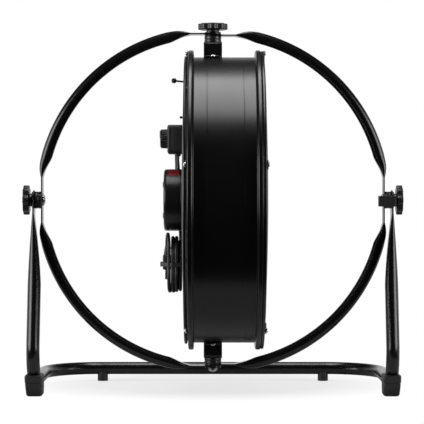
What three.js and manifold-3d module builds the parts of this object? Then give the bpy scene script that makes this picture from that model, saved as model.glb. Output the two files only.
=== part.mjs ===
// A drum fan that hangs in a tube ring on a bent tube stand. Lengths are in millimetres and +Z is up.
// The fan blows along +X. The origin is on the floor, under the middle of the ring.
import * as THREE from "three";
import { mergeVertices } from "three/addons/utils/BufferGeometryUtils.js";
import Module from "manifold-3d";

const wasm = await Module();
wasm.setup();

// Clearances and fasteners
const seatGap = 0.3; // between pieces that touch
const turnGap = 0.3; // between a bolt or shaft and its hole
const boltRadius = 4;
const boltHeadRadius = 10;
const boltHeadHeight = 4.8;
const washerRadius = 14;
const washerThickness = 1.6;
const nutRadius = 7.4; // to the corners
const nutHeight = 6.8;
const nutBore = 5;

// Stand: one tube from the left pivot down, back, across and up to the right pivot
const standTubeRadius = 11.2;
const standPressedThickness = 2.8;
const standPressedShift = 3.5; // of the pressed end, outward from the leg's middle
const floorGap = 11.8; // under the tube
const toeReach = 73; // where the lines of leg and runner cross, in front of the pivot
const toeBendRadius = 55;
const heelReach = 235; // back bar, behind the pivot
const heelBendRadius = 97;
const legPressedLength = 26; // flat below the pivot
const legPressTransition = 120; // from flat to round

// Rubber shoes and pads
const shoeWidth = 29;
const shoeHeight = 37;
const shoeLength = 55;
const shoeSlope = 18; // the front leans out by this much from sole to top
const shoeFrontWall = 5;
const padRadius = 9.4;
const padInset = 2.5; // from the end of the back bar's straight to the pad's middle

// Ring: two C halves of thinner tube, pressed flat at the pivots
const ringTubeRadius = 9.5;
const ringPressedThickness = 2.4;
const ringBendOffset = 8; // each half's bend centre, outward from the middle
const ringPressedHalf = 38; // flat on each side of a pivot
const ringPressTransition = 38;
const ringSideInset = 2; // of the pressed middle, inward from the bend
const ringEndInset = 3.5; // of the two overlapped ends

// Pivots
const spacerRadius = 14.5;
const endSpacerLength = 10.15; // between the drum's brackets and the ring
const sideSpacerLength = 10.8; // between the ring and the legs
const knobFloorGap = 28.75; // under the top knob when the ring is upside down
const knobRadius = 25;
const knobLobes = 8;
const knobLobeDepth = 3.2;
const knobDisc = 11;
const knobNeck = 3.5;
const knobNeckRadius = 11;
const knobDome = 1.5;
const knobBore = 12.5; // how deep the bolt enters

// Stop block on the right half's front edge
const stopLength = 28.5;
const stopHeight = 18;
const stopDepth = 11;
const stopDrop = 2;
const stopCheek = 3.3;
const stopOverhang = 2.6; // of the finger, past the stand's outer face
const stopClearance = 7.2; // from the finger to the stand's front edge
const stopBodyGap = 1.8; // from the body to the stand's inner face
const stopFingerRoot = 5; // of the finger, into the body
const cheekSetback = 2; // behind the block's front

// Drum shell: rolled sheet with a raised bead at each end
const shellRadius = 241.8;
const shellThickness = 1.5;
const beadHeight = 11.8;
const beadWidth = 12.4;
const beadChamfer = 2.5;
const rearBeadX = -35; // middle of the rear bead
const frontBeadX = 77.2; // middle of the front bead
const beadLip = 1.2; // of the end face's inner edge, outside the shell's radius
const shellFacets = 48;

// Grilles: rings of wire on stays, screwed to the bead faces by lugs
const wireRadius = 1.75;
const rimWireRadius = 2.5;
const wireWeld = 0.7; // how far crossing wires run into each other
const lugCount = 5; // each lug has a stay of its own
const firstLugAngle = 13; // degrees above the horizontal, on the -Y side
const lugWidth = 14;
const lugThickness = 2;
const lugInside = 4; // of the lug, inward of the rim wire's middle
const lugWeld = 0.5; // how far the rim wire runs into the lug
const lugOverBead = 0.6; // the lug's end stops this far below the bead's top
const rearDome = 5.2;
const frontDome = 8.8;
const rearRings = 10;
const frontRings = 11;
const capClearance = 9; // from the motor cap to the middle of the innermost rear ring
const centreDiscRadius = 41.5; // plain disc in the middle of the front grille
const centreDiscThickness = 1.6;

// Strap brackets at the top and bottom of the drum
const bracketRise = 25.4; // of the web's outer face, off the shell
const bracketWidth = 31;
const bracketCorner = 2.5;
const bracketThickness = 2.5;
const bracketHalfSpan = 22;
const bracketFoot = 22;

// Motor and its strut
const motorCapRadius = 52.5;
const motorCapStand = 42.8; // behind the drum's rear face
const motorCapRound = 7;
const motorBodyRadius = 56;
const motorBodyLength = 37;
const motorBossRadius = 19;
const motorBossLength = 7;
const motorFlangeRadius = 68;
const motorFlangeThickness = 5;
const strutWidth = 46;
const strutThickness = 2.5;
const strutDiscRadius = 72;
const strutInset = 5; // of its rear face, forward of the rear bead's middle
const strutTab = 22;
const bearingRadius = 14;
const bearingLength = 8;
const shaftRadius = 6;
const shaftBeyondHub = 6;
const shaftEmbed = 26; // length inside the motor

// Fan
const bladeCount = 4;
const bladeThickness = 2;
const bladeRoot = 72;
const bladeTipGap = 12.3; // to the shell's inner side
const bladeForward = 16.2; // of the blades' middle, from the motor's boss
const bladeCamber = 7;
const bladeRootDepth = 56;
const bladeTipDepth = 40;
const bladeRootWidth = 78;
const bladeTipWidth = 150;
const bladeSweep = -0.3; // radians from root to tip
const armThickness = 2.5;
const armInner = 34;
const armOuter = 118;
const hubRadius = 16;
const hubLength = 29.2;
const hubDiscRadius = 46;
const hubRunningGap = 2; // between the hub and the motor
const armGap = 0.95; // between an arm and the blade riveted to it

// Switch box on the rear grille
const boxHeight = 49;
const boxWidth = 60;
const boxDepth = 24;
const boxRise = 25.5; // above the motor cap
const boxCorner = 7;
const dialRadius = 16.6;
const dialHeight = 13;
const dialRise = 26; // its middle above the box's bottom
const spindleRadius = 3;
const spindleLength = 8;
const clampPlateThickness = 1.5;
const clampPlateInset = 6; // of the plate's edge, from the box's edge
const leadRadius = 2.6;
const leadForward = 12; // in front of the pivot
const leadX = -59;
const leadCollar = 4;
const leadSteps = 5;
const leadSway = 0.5; // off a straight line, each way

// Cord hook on the rear grille
const hookRodRadius = 1.6;
const hookReach = 17;
const hookBallRadius = 4.5;
const hookAngle = 88; // degrees above the horizontal, on the -Y side
const hankHookReach = 24; // the lower hook, through the hank's eye
const hookRing = 2; // of the rear grille's rings, counted in from the rim
const hankHookRing = 8; // also counted in from the rim
const hankHookAngle = -87.9;

// Mains cord
const cordRadius = 3;
const turnPitch = 6.2; // between neighbouring turns of the hank
const hankLayers = 3; // across the hank's thickness
const hankNested = 3; // turns inside each other in a layer
const hankOuterRadius = 30.4; // bend of the outer turn
const hankStraight = 15; // half of each straight run
const hankPinch = 1.5; // how far the tie draws each side in
const hankPinchReach = 40;
const hankShoulder = 38.3; // where the cord joins, above the hank's middle
const eyeFacetDip = 0.3; // of the eye's flat facets, inside its true curve
const tieWidth = 7;
const tieThickness = 1.3;
const plugWidth = 24;
const plugDepth = 14;
const plugLength = 26;
const plugTop = -93;
const plugSide = 9; // sideways from the middle
const plugNeckLength = 15;
const prongWidth = 6.3;
const prongThickness = 1.5;
const prongLength = 16;
const prongPitch = 12.7;
const reliefLength = 25;
const reliefRadius = 6.2;
const reliefRise = 19; // above the box's bottom

// Sizes that follow from the drum's. Bracket, spacer and ring build outward from the shell, then the
// side spacer and the leg, and the pivot is high enough for the top knob to pass over the floor.
const bracketTop = shellRadius + bracketRise;
const lapStep = (ringPressedThickness + seatGap) / 2;
const lapInner = bracketTop + endSpacerLength + 2 * seatGap;
const lapHeight = lapInner + lapStep + ringPressedThickness / 2;
const lapOuter = lapHeight + lapStep + ringPressedThickness / 2;
const ringBendRadius = lapHeight + ringEndInset;
const ringStripX = ringBendOffset + ringBendRadius - ringSideInset;
const ringInnerFace = ringStripX - ringPressedThickness / 2;
const ringOuterFace = ringStripX + ringPressedThickness / 2;
const standInnerFace = ringOuterFace + sideSpacerLength + 2 * seatGap;
const standStripX = standInnerFace + standPressedThickness / 2;
const standOuterFace = standInnerFace + standPressedThickness;
const standHalfWidth = standStripX - standPressedShift; // to the middle of each leg
const topWasherFrom = lapOuter + seatGap;
const topKnobSeat = topWasherFrom + washerThickness + seatGap;
const pivotHeight = topKnobSeat + knobNeck + knobDisc + knobDome + knobFloorGap;
const rearFace = rearBeadX - beadWidth / 2;
const frontFace = frontBeadX + beadWidth / 2;
const strutX = rearBeadX + strutInset;
const capFront = strutX + strutThickness;
const bodyRear = capFront + seatGap;
const bodyFront = bodyRear + motorBodyLength;
const bossFront = bodyFront + motorBossLength;
const hubRear = bossFront + hubRunningGap;
const hubFront = hubRear + hubLength;
const shaftTip = hubFront + shaftBeyondHub;
const bladeMidX = bossFront + bladeForward;
const bladeTip = shellRadius - shellThickness - bladeTipGap;
const boxBottom = motorCapRadius + boxRise; // above the pivot

// Finishes
const blackEnamel = () => finish(0x17181a, 0.32, 0.1);
const blackPlastic = () => finish(0x1c1c1e, 0.55, 0);
const blackRubber = () => finish(0x151515, 0.8, 0);
const brightSteel = () => finish(0xc9ccd0, 0.25, 1);
const bareAluminium = () => finish(0xb4b7ba, 0.4, 1);

function finish(color, roughness, metalness) {
  return new THREE.MeshStandardMaterial({ color, roughness, metalness });
}

// Helpers for meshes and solids

// Six times the enclosed volume, positive when the faces point out.
function signedVolume(geometry) {
  const flat = geometry.index ? geometry.toNonIndexed() : geometry;
  const place = flat.getAttribute("position");
  const a = new THREE.Vector3();
  const b = new THREE.Vector3();
  const c = new THREE.Vector3();
  let sum = 0;
  for (let i = 0; i < place.count; i += 3) {
    a.fromBufferAttribute(place, i);
    b.fromBufferAttribute(place, i + 1);
    c.fromBufferAttribute(place, i + 2);
    sum += a.dot(b.cross(c));
  }
  return sum;
}

// The same surface with shared points merged and its faces pointing out.
function closed(geometry) {
  const bare = geometry.clone();
  bare.deleteAttribute("normal");
  bare.deleteAttribute("uv");
  const merged = mergeVertices(bare, 1e-4);
  if (signedVolume(merged) < 0) {
    merged.index.array.reverse();
  }
  return merged;
}

function solidOf(geometry) {
  const merged = closed(geometry);
  return new wasm.Manifold(
    new wasm.Mesh({
      numProp: 3,
      vertProperties: new Float32Array(merged.getAttribute("position").array),
      triVerts: new Uint32Array(merged.index.array),
    }),
  );
}

function geometryOf(solid) {
  const mesh = solid.getMesh();
  const geometry = new THREE.BufferGeometry();
  geometry.setAttribute("position", new THREE.BufferAttribute(mesh.vertProperties, 3));
  geometry.setIndex(new THREE.BufferAttribute(mesh.triVerts, 1));
  return geometry;
}

function joined(geometries) {
  return geometryOf(geometries.map(solidOf).reduce((sum, next) => sum.add(next)));
}

function cut(geometry, tools) {
  return geometryOf(tools.map(solidOf).reduce((left, tool) => left.subtract(tool), solidOf(geometry)));
}

function piece(name, geometry, material) {
  const faceted = closed(geometry).toNonIndexed();
  faceted.computeVertexNormals();
  const mesh = new THREE.Mesh(faceted, material);
  mesh.name = name;
  return mesh;
}

function groupOf(...children) {
  const group = new THREE.Group();
  group.add(...children);
  return group;
}

// Turns of the axes: a shape drawn in (y, z) is extruded along X, and a lathe turns about X, Y or Z.
const drawnAcrossX = new THREE.Matrix4().set(0, 0, 1, 0, 1, 0, 0, 0, 0, 1, 0, 0, 0, 0, 0, 1);
const latheToX = new THREE.Matrix4().set(0, 1, 0, 0, 0, 0, 1, 0, 1, 0, 0, 0, 0, 0, 0, 1);
const latheToZ = new THREE.Matrix4().set(0, 0, 1, 0, 1, 0, 0, 0, 0, 1, 0, 0, 0, 0, 0, 1);

function extruded(shape, depth, options = {}) {
  return new THREE.ExtrudeGeometry(shape, { depth, bevelEnabled: false, curveSegments: 3, ...options });
}

// A shape in (y, z) made solid from x = from to x = to, with its edges rounded by bevel.
function slabAlongX(shape, from, to, bevel = 0, segments = 1) {
  const edge = { bevelEnabled: true, bevelThickness: bevel, bevelSize: bevel, bevelOffset: -bevel };
  const options = bevel > 0 ? { ...edge, bevelSegments: segments } : {};
  const slab = extruded(shape, to - from - 2 * bevel, options);
  return slab.applyMatrix4(drawnAcrossX).translate(from + bevel, 0, 0);
}

// Points of a profile are [along the axis, distance from it].
function turned(profile, facets) {
  return new THREE.LatheGeometry(
    profile.map(([along, radius]) => new THREE.Vector2(radius, along)),
    facets,
  );
}

const turnedX = (profile, facets = 20) => turned(profile, facets).applyMatrix4(latheToX);
const turnedZ = (profile, facets = 20) => turned(profile, facets).applyMatrix4(latheToZ);

function rod(from, to, radius) {
  return [
    [from, 0],
    [from, radius],
    [to, radius],
    [to, 0],
  ];
}

// A washer, spacer or bearing: closed on itself round a bore.
function sleeve(from, to, inner, outer) {
  return [
    [from, inner],
    [from, outer],
    [to, outer],
    [to, inner],
    [from, inner],
  ];
}

function box(x, y, z) {
  const size = [x[1] - x[0], y[1] - y[0], z[1] - z[0]];
  const middle = [(x[0] + x[1]) / 2, (y[0] + y[1]) / 2, (z[0] + z[1]) / 2];
  return new THREE.BoxGeometry(...size).translate(...middle);
}

function polygon(points) {
  return new THREE.Shape(points.map(([a, b]) => new THREE.Vector2(a, b)));
}

function roundedRectangle(width, height, radius) {
  const w = width / 2 - radius;
  const h = height / 2 - radius;
  const shape = new THREE.Shape();
  shape.absarc(w, h, radius, 0, Math.PI / 2);
  shape.absarc(-w, h, radius, Math.PI / 2, Math.PI);
  shape.absarc(-w, -h, radius, Math.PI, 1.5 * Math.PI);
  shape.absarc(w, -h, radius, 1.5 * Math.PI, 2 * Math.PI);
  return shape;
}

// A skin over rings of points that have the same number of points each, with a flat face at each end.
function loft(rings) {
  const sides = rings[0].length;
  const places = rings.flat().flatMap((point) => [point.x, point.y, point.z]);
  const index = [];
  for (let ring = 0; ring + 1 < rings.length; ring++) {
    for (let i = 0; i < sides; i++) {
      const a = ring * sides + i;
      const b = ring * sides + ((i + 1) % sides);
      index.push(a, b, b + sides, a, b + sides, a + sides);
    }
  }
  const last = (rings.length - 1) * sides;
  for (let i = 1; i + 1 < sides; i++) {
    index.push(0, i + 1, i);
    index.push(last, last + i, last + i + 1);
  }
  const geometry = new THREE.BufferGeometry();
  geometry.setAttribute("position", new THREE.Float32BufferAttribute(places, 3));
  geometry.setIndex(index);
  return geometry;
}

const mirroredX = (point) => new THREE.Vector3(-point.x, point.y, point.z);

// A section of pressed tube: two arcs joined by flats. A tube keeps its perimeter when it is pressed,
// so the flats grow by pi/2 of what the half thickness loses. Near an end the width may be less.
function pressedSection(centre, across, thick, tubeRadius, halfThickness, sides, halfWidth = Infinity) {
  const fullWidth = halfThickness + (Math.PI / 2) * (tubeRadius - halfThickness);
  const flat = Math.max(Math.min(fullWidth, halfWidth) - halfThickness, 0);
  const points = [];
  for (let i = 0; i < sides; i++) {
    const angle = ((i + 0.5) / sides) * 2 * Math.PI;
    const along = halfThickness * Math.cos(angle) + flat * Math.sign(Math.cos(angle));
    const point = centre.clone().addScaledVector(across, along);
    points.push(point.addScaledVector(thick, halfThickness * Math.sin(angle)));
  }
  return points;
}

const pressedHalfWidth = (radius, thickness) => thickness / 2 + (Math.PI / 2) * (radius - thickness / 2);

// From 0 at the flat to 1 at the full tube, quickest at the start.
const roundingOff = (t) => (t + Math.sin((Math.PI / 2) * t)) / 2;
const eased = (t) => t * t * (3 - 2 * t);

// Stand

const tubeHeight = floorGap + standTubeRadius;
const legTop = new THREE.Vector3(-standHalfWidth, 0, pivotHeight);
const toeCorner = new THREE.Vector3(-standHalfWidth, -toeReach, tubeHeight);
const heelCorner = new THREE.Vector3(-standHalfWidth, heelReach, tubeHeight);
const legDown = toeCorner.clone().sub(legTop).normalize();
const outward = new THREE.Vector3(-1, 0, 0);
const standStripHalf = pressedHalfWidth(standTubeRadius, standPressedThickness);

// Where a tube is cut round at its pressed end, as angles from the tip to the full width.
const endAngles = [12, 40, 65, 90].map((degrees) => (degrees * Math.PI) / 180);

// Places and directions of travel round one bend of a route.
function bend(before, corner, after, radius, steps) {
  const into = corner.clone().sub(before).normalize();
  const out = after.clone().sub(corner).normalize();
  const turn = into.angleTo(out);
  const inward = out.clone().addScaledVector(into, -out.dot(into)).normalize();
  const start = corner.clone().addScaledVector(into, -radius * Math.tan(turn / 2));
  const middle = start.addScaledVector(inward, radius);
  return Array.from({ length: steps + 1 }, (_, i) => {
    const angle = (turn * i) / steps;
    const point = middle.clone().addScaledVector(inward, -radius * Math.cos(angle));
    point.addScaledVector(into, radius * Math.sin(angle));
    const along = into.clone().multiplyScalar(Math.cos(angle));
    return { point, along: along.addScaledVector(inward, Math.sin(angle)) };
  });
}

// The whole tube, or with grow the room that it needs in a shoe or pad.
function standTube(grow = 0) {
  const radius = standTubeRadius + grow;
  const flat = standPressedThickness / 2 + grow;
  const rings = [];
  let thick = outward;
  const addRing = (point, along, halfThickness, halfWidth) => {
    thick = thick.clone().addScaledVector(along, -thick.dot(along)).normalize();
    const across = along.clone().cross(thick);
    rings.push(pressedSection(point, across, thick, radius, halfThickness, 12, halfWidth));
  };
  const onLeg = (down, shift) =>
    legTop.clone().addScaledVector(legDown, down).addScaledVector(outward, shift);
  for (const angle of endAngles) {
    const point = onLeg(-standStripHalf * Math.cos(angle), standPressedShift);
    addRing(point, legDown, flat, standStripHalf * Math.sin(angle) + grow);
  }
  for (const t of [0, 0.12, 0.25, 0.4, 0.6, 0.8, 1]) {
    const full = roundingOff(t);
    const point = onLeg(legPressedLength + t * legPressTransition, standPressedShift * (1 - full));
    addRing(point, legDown, flat + (radius - flat) * full);
  }
  const toe = bend(legTop, toeCorner, heelCorner, toeBendRadius, 7);
  const heel = bend(toeCorner, heelCorner, mirroredX(heelCorner), heelBendRadius, 7);
  for (const { point, along } of [...toe, ...heel]) {
    addRing(point, along, radius);
  }
  const right = rings.map((ring) => ring.map(mirroredX)).reverse();
  return loft([...rings, ...right]);
}

// A shoe for the left front bend. The tube comes out of its top and its back.
function shoe() {
  const frontTop = -(toeBendFront() + shoeFrontWall);
  const back = frontTop + shoeLength;
  const side = polygon([
    [frontTop + shoeSlope, 0],
    [back, 0],
    [back, shoeHeight],
    [frontTop, shoeHeight],
    [frontTop + 0.12 * shoeSlope, 0.72 * shoeHeight],
  ]);
  const block = slabAlongX(side, -standHalfWidth - shoeWidth / 2, -standHalfWidth + shoeWidth / 2, 2.5, 2);
  return cut(block, [standTube(seatGap)]);
}

// How far the tube's front stands before the pivot at the height of the shoe's top.
function toeBendFront() {
  const [start] = bend(legTop, toeCorner, heelCorner, toeBendRadius, 1);
  const inward = new THREE.Vector3(0, legDown.z, -legDown.y).multiplyScalar(-1);
  const middle = start.point.clone().addScaledVector(inward, toeBendRadius);
  const reach = toeBendRadius + standTubeRadius;
  return Math.sqrt(reach ** 2 - (middle.z - shoeHeight) ** 2) - middle.y;
}

function barPad(side) {
  const pad = turnedZ(
    [
      [0, 0],
      [0, padRadius - 1],
      [1.5, padRadius],
      [tubeHeight - standTubeRadius / 2, padRadius],
      [tubeHeight - standTubeRadius / 2, 0],
    ],
    16,
  );
  const spread = standHalfWidth - heelBendRadius - padInset;
  return cut(pad.translate(side * spread, heelReach, 0), [standTube(seatGap)]);
}

function buildStand() {
  const holes = [-1, 1].map((side) => {
    const hole = turnedX(rod(standInnerFace - 5, standOuterFace + 5, boltRadius + turnGap), 12);
    return (side < 0 ? hole.rotateY(Math.PI) : hole).translate(0, 0, pivotHeight);
  });
  const leftShoe = shoe();
  return groupOf(
    piece("stand_frame", cut(standTube(), holes), blackEnamel()),
    piece("foot_left", leftShoe, blackRubber()),
    piece("foot_right", leftShoe.clone().scale(-1, 1, 1), blackRubber()),
    piece("bar_pad_left", barPad(-1), blackRubber()),
    piece("bar_pad_right", barPad(1), blackRubber()),
  );
}

// Ring. From here on, heights are measured from the pivot.

const ringStripHalf = pressedHalfWidth(ringTubeRadius, ringPressedThickness);

// The left half, from its upper end to the middle of its side: x, z, half thickness and half width.
function ringQuarter(endHeight) {
  const flat = ringPressedThickness / 2;
  const round = ringTubeRadius;
  const pressedEnd = ringPressedHalf + ringPressTransition;
  const arcHeight = (x) => Math.sqrt(ringBendRadius ** 2 - (-x - ringBendOffset) ** 2);
  const arcSide = (z) => ringBendOffset + Math.sqrt(ringBendRadius ** 2 - z ** 2);
  const stations = endAngles.map((angle) => ({
    x: ringStripHalf * Math.cos(angle),
    z: endHeight,
    half: flat,
    width: ringStripHalf * Math.sin(angle),
  }));
  for (const t of [0, 0.25, 0.5, 0.75, 1]) {
    const x = -(ringPressedHalf + t * ringPressTransition);
    const z = THREE.MathUtils.lerp(endHeight, arcHeight(x), eased(t));
    stations.push({ x, z, half: THREE.MathUtils.lerp(flat, round, roundingOff(t)) });
  }
  const first = Math.asin((pressedEnd - ringBendOffset) / ringBendRadius);
  const last = Math.acos(pressedEnd / ringBendRadius);
  const steps = 9;
  for (let i = 1; i < steps; i++) {
    const angle = THREE.MathUtils.lerp(first, last, i / steps);
    const x = -(ringBendOffset + ringBendRadius * Math.sin(angle));
    stations.push({ x, z: ringBendRadius * Math.cos(angle), half: round });
  }
  for (const t of [1, 0.75, 0.5, 0.25, 0]) {
    const z = ringPressedHalf + t * ringPressTransition;
    const x = -THREE.MathUtils.lerp(ringStripX, arcSide(z), eased(t));
    stations.push({ x, z, half: THREE.MathUtils.lerp(flat, round, roundingOff(t)) });
  }
  return stations;
}

function ringHalf(endHeight) {
  const upper = ringQuarter(endHeight);
  const lower = upper.map((station) => ({ ...station, z: -station.z })).reverse();
  const stations = [...upper, ...lower];
  const depth = new THREE.Vector3(0, 1, 0);
  const rings = stations.map((station, i) => {
    const before = stations[Math.max(i - 1, 0)];
    const after = stations[Math.min(i + 1, stations.length - 1)];
    const along = new THREE.Vector3(after.x - before.x, 0, after.z - before.z).normalize();
    const thick = along.clone().cross(depth);
    const centre = new THREE.Vector3(station.x, 0, station.z);
    return pressedSection(centre, depth, thick, ringTubeRadius, station.half, 10, station.width);
  });
  const upright = turnedZ(rod(-lapOuter - 5, lapOuter + 5, boltRadius + turnGap), 12);
  const level = turnedX(rod(-ringOuterFace - 5, -ringInnerFace + 5, boltRadius + turnGap), 12);
  return cut(loft(rings), [upright, level]);
}

// A bolt with a domed head that starts at from, along the axis it is turned on.
function boltProfile(from, tip) {
  return [
    [from, 0],
    [from + 0.15 * boltHeadHeight, 0.55 * boltHeadRadius],
    [from + 0.45 * boltHeadHeight, 0.88 * boltHeadRadius],
    [from + boltHeadHeight, boltHeadRadius],
    [from + boltHeadHeight, boltRadius],
    [tip, boltRadius],
    [tip, 0],
  ];
}

const sideWasherFrom = standOuterFace + seatGap;
const sideKnobSeat = sideWasherFrom + washerThickness + seatGap;
const boltEnd = knobBore - 1; // the bolt's tip, beyond the knob's seat

function sidePivot(side) {
  const name = side < 0 ? "left" : "right";
  const head = ringInnerFace - seatGap - boltHeadHeight;
  const hole = boltRadius + turnGap;
  const spacer = turnedX(sleeve(ringOuterFace + seatGap, standInnerFace - seatGap, hole, spacerRadius));
  const washer = turnedX(sleeve(sideWasherFrom, sideWasherFrom + washerThickness, hole, washerRadius));
  const group = groupOf(
    piece("side_bolt_" + name, turnedX(boltProfile(head, sideKnobSeat + boltEnd), 16), brightSteel()),
    piece("side_spacer_" + name, spacer, blackPlastic()),
    piece("side_washer_" + name, washer, blackEnamel()),
  );
  group.rotation.y = side < 0 ? Math.PI : 0;
  return group;
}

// The block fixed to the ring's front edge. Its finger meets the stand's edge at both ends of the tilt.
function stopBlock() {
  const fingerTip = standOuterFace + stopOverhang;
  const fromX = fingerTip - stopLength;
  const nearRing = -(Math.max(ringStripHalf, spacerRadius) + seatGap);
  const nearStand = -(standStripHalf + stopClearance);
  const front = nearStand - stopDepth;
  const heights = [-stopDrop - stopHeight / 2, -stopDrop + stopHeight / 2];
  const body = box([fromX, standInnerFace - stopBodyGap], [front, nearRing], heights);
  const finger = box([fromX + stopFingerRoot, fingerTip], [front, nearStand], heights);
  const cheekX = [ringInnerFace - seatGap - stopCheek, ringInnerFace - seatGap];
  const cheek = box(cheekX, [front + cheekSetback, -(boltHeadRadius + 2 * seatGap)], heights);
  return joined([body, finger, cheek]);
}

function buildRing() {
  return groupOf(
    piece("ring_half_left", ringHalf(lapHeight + lapStep), blackEnamel()),
    piece("ring_half_right", ringHalf(lapHeight - lapStep).scale(-1, 1, 1), blackEnamel()),
    sidePivot(-1),
    sidePivot(1),
    piece("stop_block", stopBlock(), blackPlastic()),
    piece("top_spacer", turnedZ(pivotSpacer(1)), blackPlastic()),
    piece("bottom_spacer", turnedZ(pivotSpacer(-1)), blackPlastic()),
  );
}

function pivotSpacer(side) {
  const ends = [side * (bracketTop + seatGap), side * (lapInner - seatGap)];
  return sleeve(Math.min(...ends), Math.max(...ends), boltRadius + turnGap, spacerRadius);
}

// Star knob, with its seat at z = 0.
function knob() {
  const bevel = 1.6;
  const pointsPerLobe = 4;
  const outline = Array.from({ length: knobLobes * pointsPerLobe }, (_, i) => {
    const angle = (2 * Math.PI * i) / (knobLobes * pointsPerLobe);
    const hollow = (0.5 - 0.5 * Math.cos(knobLobes * angle)) ** 1.5;
    const radius = knobRadius - knobLobeDepth * hollow;
    return [radius * Math.cos(angle), radius * Math.sin(angle)];
  });
  const edge = { bevelEnabled: true, bevelThickness: bevel, bevelSize: bevel, bevelOffset: -bevel };
  const disc = extruded(polygon(outline), knobDisc - 2 * bevel, { ...edge, bevelSegments: 1 });
  disc.translate(0, 0, knobNeck + bevel);
  const face = knobNeck + knobDisc;
  const core = turnedZ(
    [
      [0, 0],
      [0, knobNeckRadius],
      [face - 1, knobNeckRadius + 5],
      [face + 0.6 * knobDome, 0.4 * knobRadius],
      [face + knobDome, 0],
    ],
    20,
  );
  return cut(joined([disc, core]), [turnedZ(rod(-1, knobBore, boltRadius + turnGap), 12)]);
}

function knobPiece(name) {
  return piece(name, knob(), blackPlastic());
}

function buildKnobs() {
  const left = knobPiece("knob_left");
  left.position.x = -sideKnobSeat;
  left.rotation.y = -Math.PI / 2;
  const right = knobPiece("knob_right");
  right.position.x = sideKnobSeat;
  right.rotation.y = Math.PI / 2;
  const top = knobPiece("knob_top");
  top.position.z = topKnobSeat;
  return groupOf(left, right, top);
}

// Drum shell and its brackets

const beadTop = shellRadius + beadHeight;
const shellBore = (shellRadius - shellThickness) * Math.cos(Math.PI / shellFacets); // at its flats

// The outer line of one bead, from the drum's end face inward.
function beadLine(middle, end) {
  const from = middle + (end * beadWidth) / 2;
  const to = middle - (end * beadWidth) / 2;
  const c = end * beadChamfer;
  return [
    [from, shellRadius + beadLip],
    [from, beadTop - beadChamfer],
    [from - c, beadTop],
    [to + c, beadTop],
    [to, beadTop - beadChamfer],
    [to, shellRadius + 1.5],
    [to - 0.6 * c, shellRadius],
  ];
}

// The same bead seen from inside the sheet, from its foot out to the end face.
function beadHollow(middle, end) {
  const from = middle + end * (beadWidth / 2 - shellThickness);
  const to = middle - end * (beadWidth / 2 - shellThickness);
  const top = beadTop - shellThickness;
  return [
    [to - end * beadChamfer, shellRadius - shellThickness],
    [to, shellRadius],
    [to, top],
    [from, top],
    [from, shellRadius + beadLip],
  ];
}

function drumShell() {
  const profile = [
    ...beadLine(rearBeadX, -1),
    ...beadLine(frontBeadX, 1).reverse(),
    ...beadHollow(frontBeadX, 1).reverse(),
    ...beadHollow(rearBeadX, -1),
  ];
  return turnedX([...profile, profile[0]], shellFacets);
}

// A strap bent into a hat: its feet follow the drum and its web carries the pivot.
function bracket() {
  const seat = shellRadius + seatGap;
  const outer = seat + bracketThickness;
  const inside = bracketHalfSpan - bracketThickness;
  const upright = Math.PI / 2;
  const footEnd = (bracketHalfSpan + bracketFoot) / seat;
  const under = bracketTop - bracketThickness;
  const corner = bracketCorner;
  const strap = new THREE.Shape();
  strap.absarc(0, 0, seat, upright - footEnd, upright - Math.asin(inside / seat), false);
  strap.lineTo(inside, under);
  strap.lineTo(-inside, under);
  strap.absarc(0, 0, seat, upright + Math.asin(inside / seat), upright + footEnd, false);
  strap.absarc(0, 0, outer, upright + footEnd, upright + Math.asin(bracketHalfSpan / outer), true);
  strap.lineTo(-bracketHalfSpan, bracketTop - corner);
  strap.lineTo(-bracketHalfSpan + corner, bracketTop);
  strap.lineTo(bracketHalfSpan - corner, bracketTop);
  strap.lineTo(bracketHalfSpan, bracketTop - corner);
  strap.absarc(0, 0, outer, upright - Math.asin(bracketHalfSpan / outer), upright - footEnd, true);
  const bent = slabAlongX(strap, -bracketWidth / 2, bracketWidth / 2);
  return cut(bent, [turnedZ(rod(under - 5, bracketTop + 5, boltRadius + turnGap), 12)]);
}

// Domed nut on the bottom bolt, with its seat at z = 0.
function domedNut() {
  const dome = turnedZ(
    [
      [0, 0],
      [0, nutRadius],
      [0.6 * nutHeight, nutRadius],
      [0.83 * nutHeight, 0.75 * nutRadius],
      [nutHeight, 0],
    ],
    6,
  );
  return cut(dome, [turnedZ(rod(-1, nutBore, boltRadius + turnGap), 12)]);
}

function buildPivots() {
  const head = bracketTop - bracketThickness - seatGap - boltHeadHeight;
  const topBolt = turnedZ(boltProfile(head, topKnobSeat + boltEnd), 16);
  const bottomBolt = turnedZ(boltProfile(head, topKnobSeat + nutBore - 1), 16);
  const washer = turnedZ(
    sleeve(topWasherFrom, topWasherFrom + washerThickness, boltRadius + turnGap, washerRadius),
  );
  const bottom = groupOf(
    piece("bottom_bracket", bracket(), blackEnamel()),
    piece("bottom_bolt", bottomBolt, brightSteel()),
    piece("bottom_washer", washer, brightSteel()),
    piece("bottom_nut", domedNut().translate(0, 0, topKnobSeat), brightSteel()),
  );
  bottom.rotation.x = Math.PI;
  return groupOf(
    piece("top_bracket", bracket(), blackEnamel()),
    piece("top_bolt", topBolt, brightSteel()),
    piece("top_washer", washer.clone(), blackEnamel()),
    bottom,
  );
}

// Grilles

// Radii of a grille's rings at even steps, from the rim in.
function ringRadii(rim, innermost, rings) {
  const radiusOf = (_, i) => THREE.MathUtils.lerp(rim, innermost, i / (rings - 1));
  return Array.from({ length: rings }, radiusOf);
}

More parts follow.
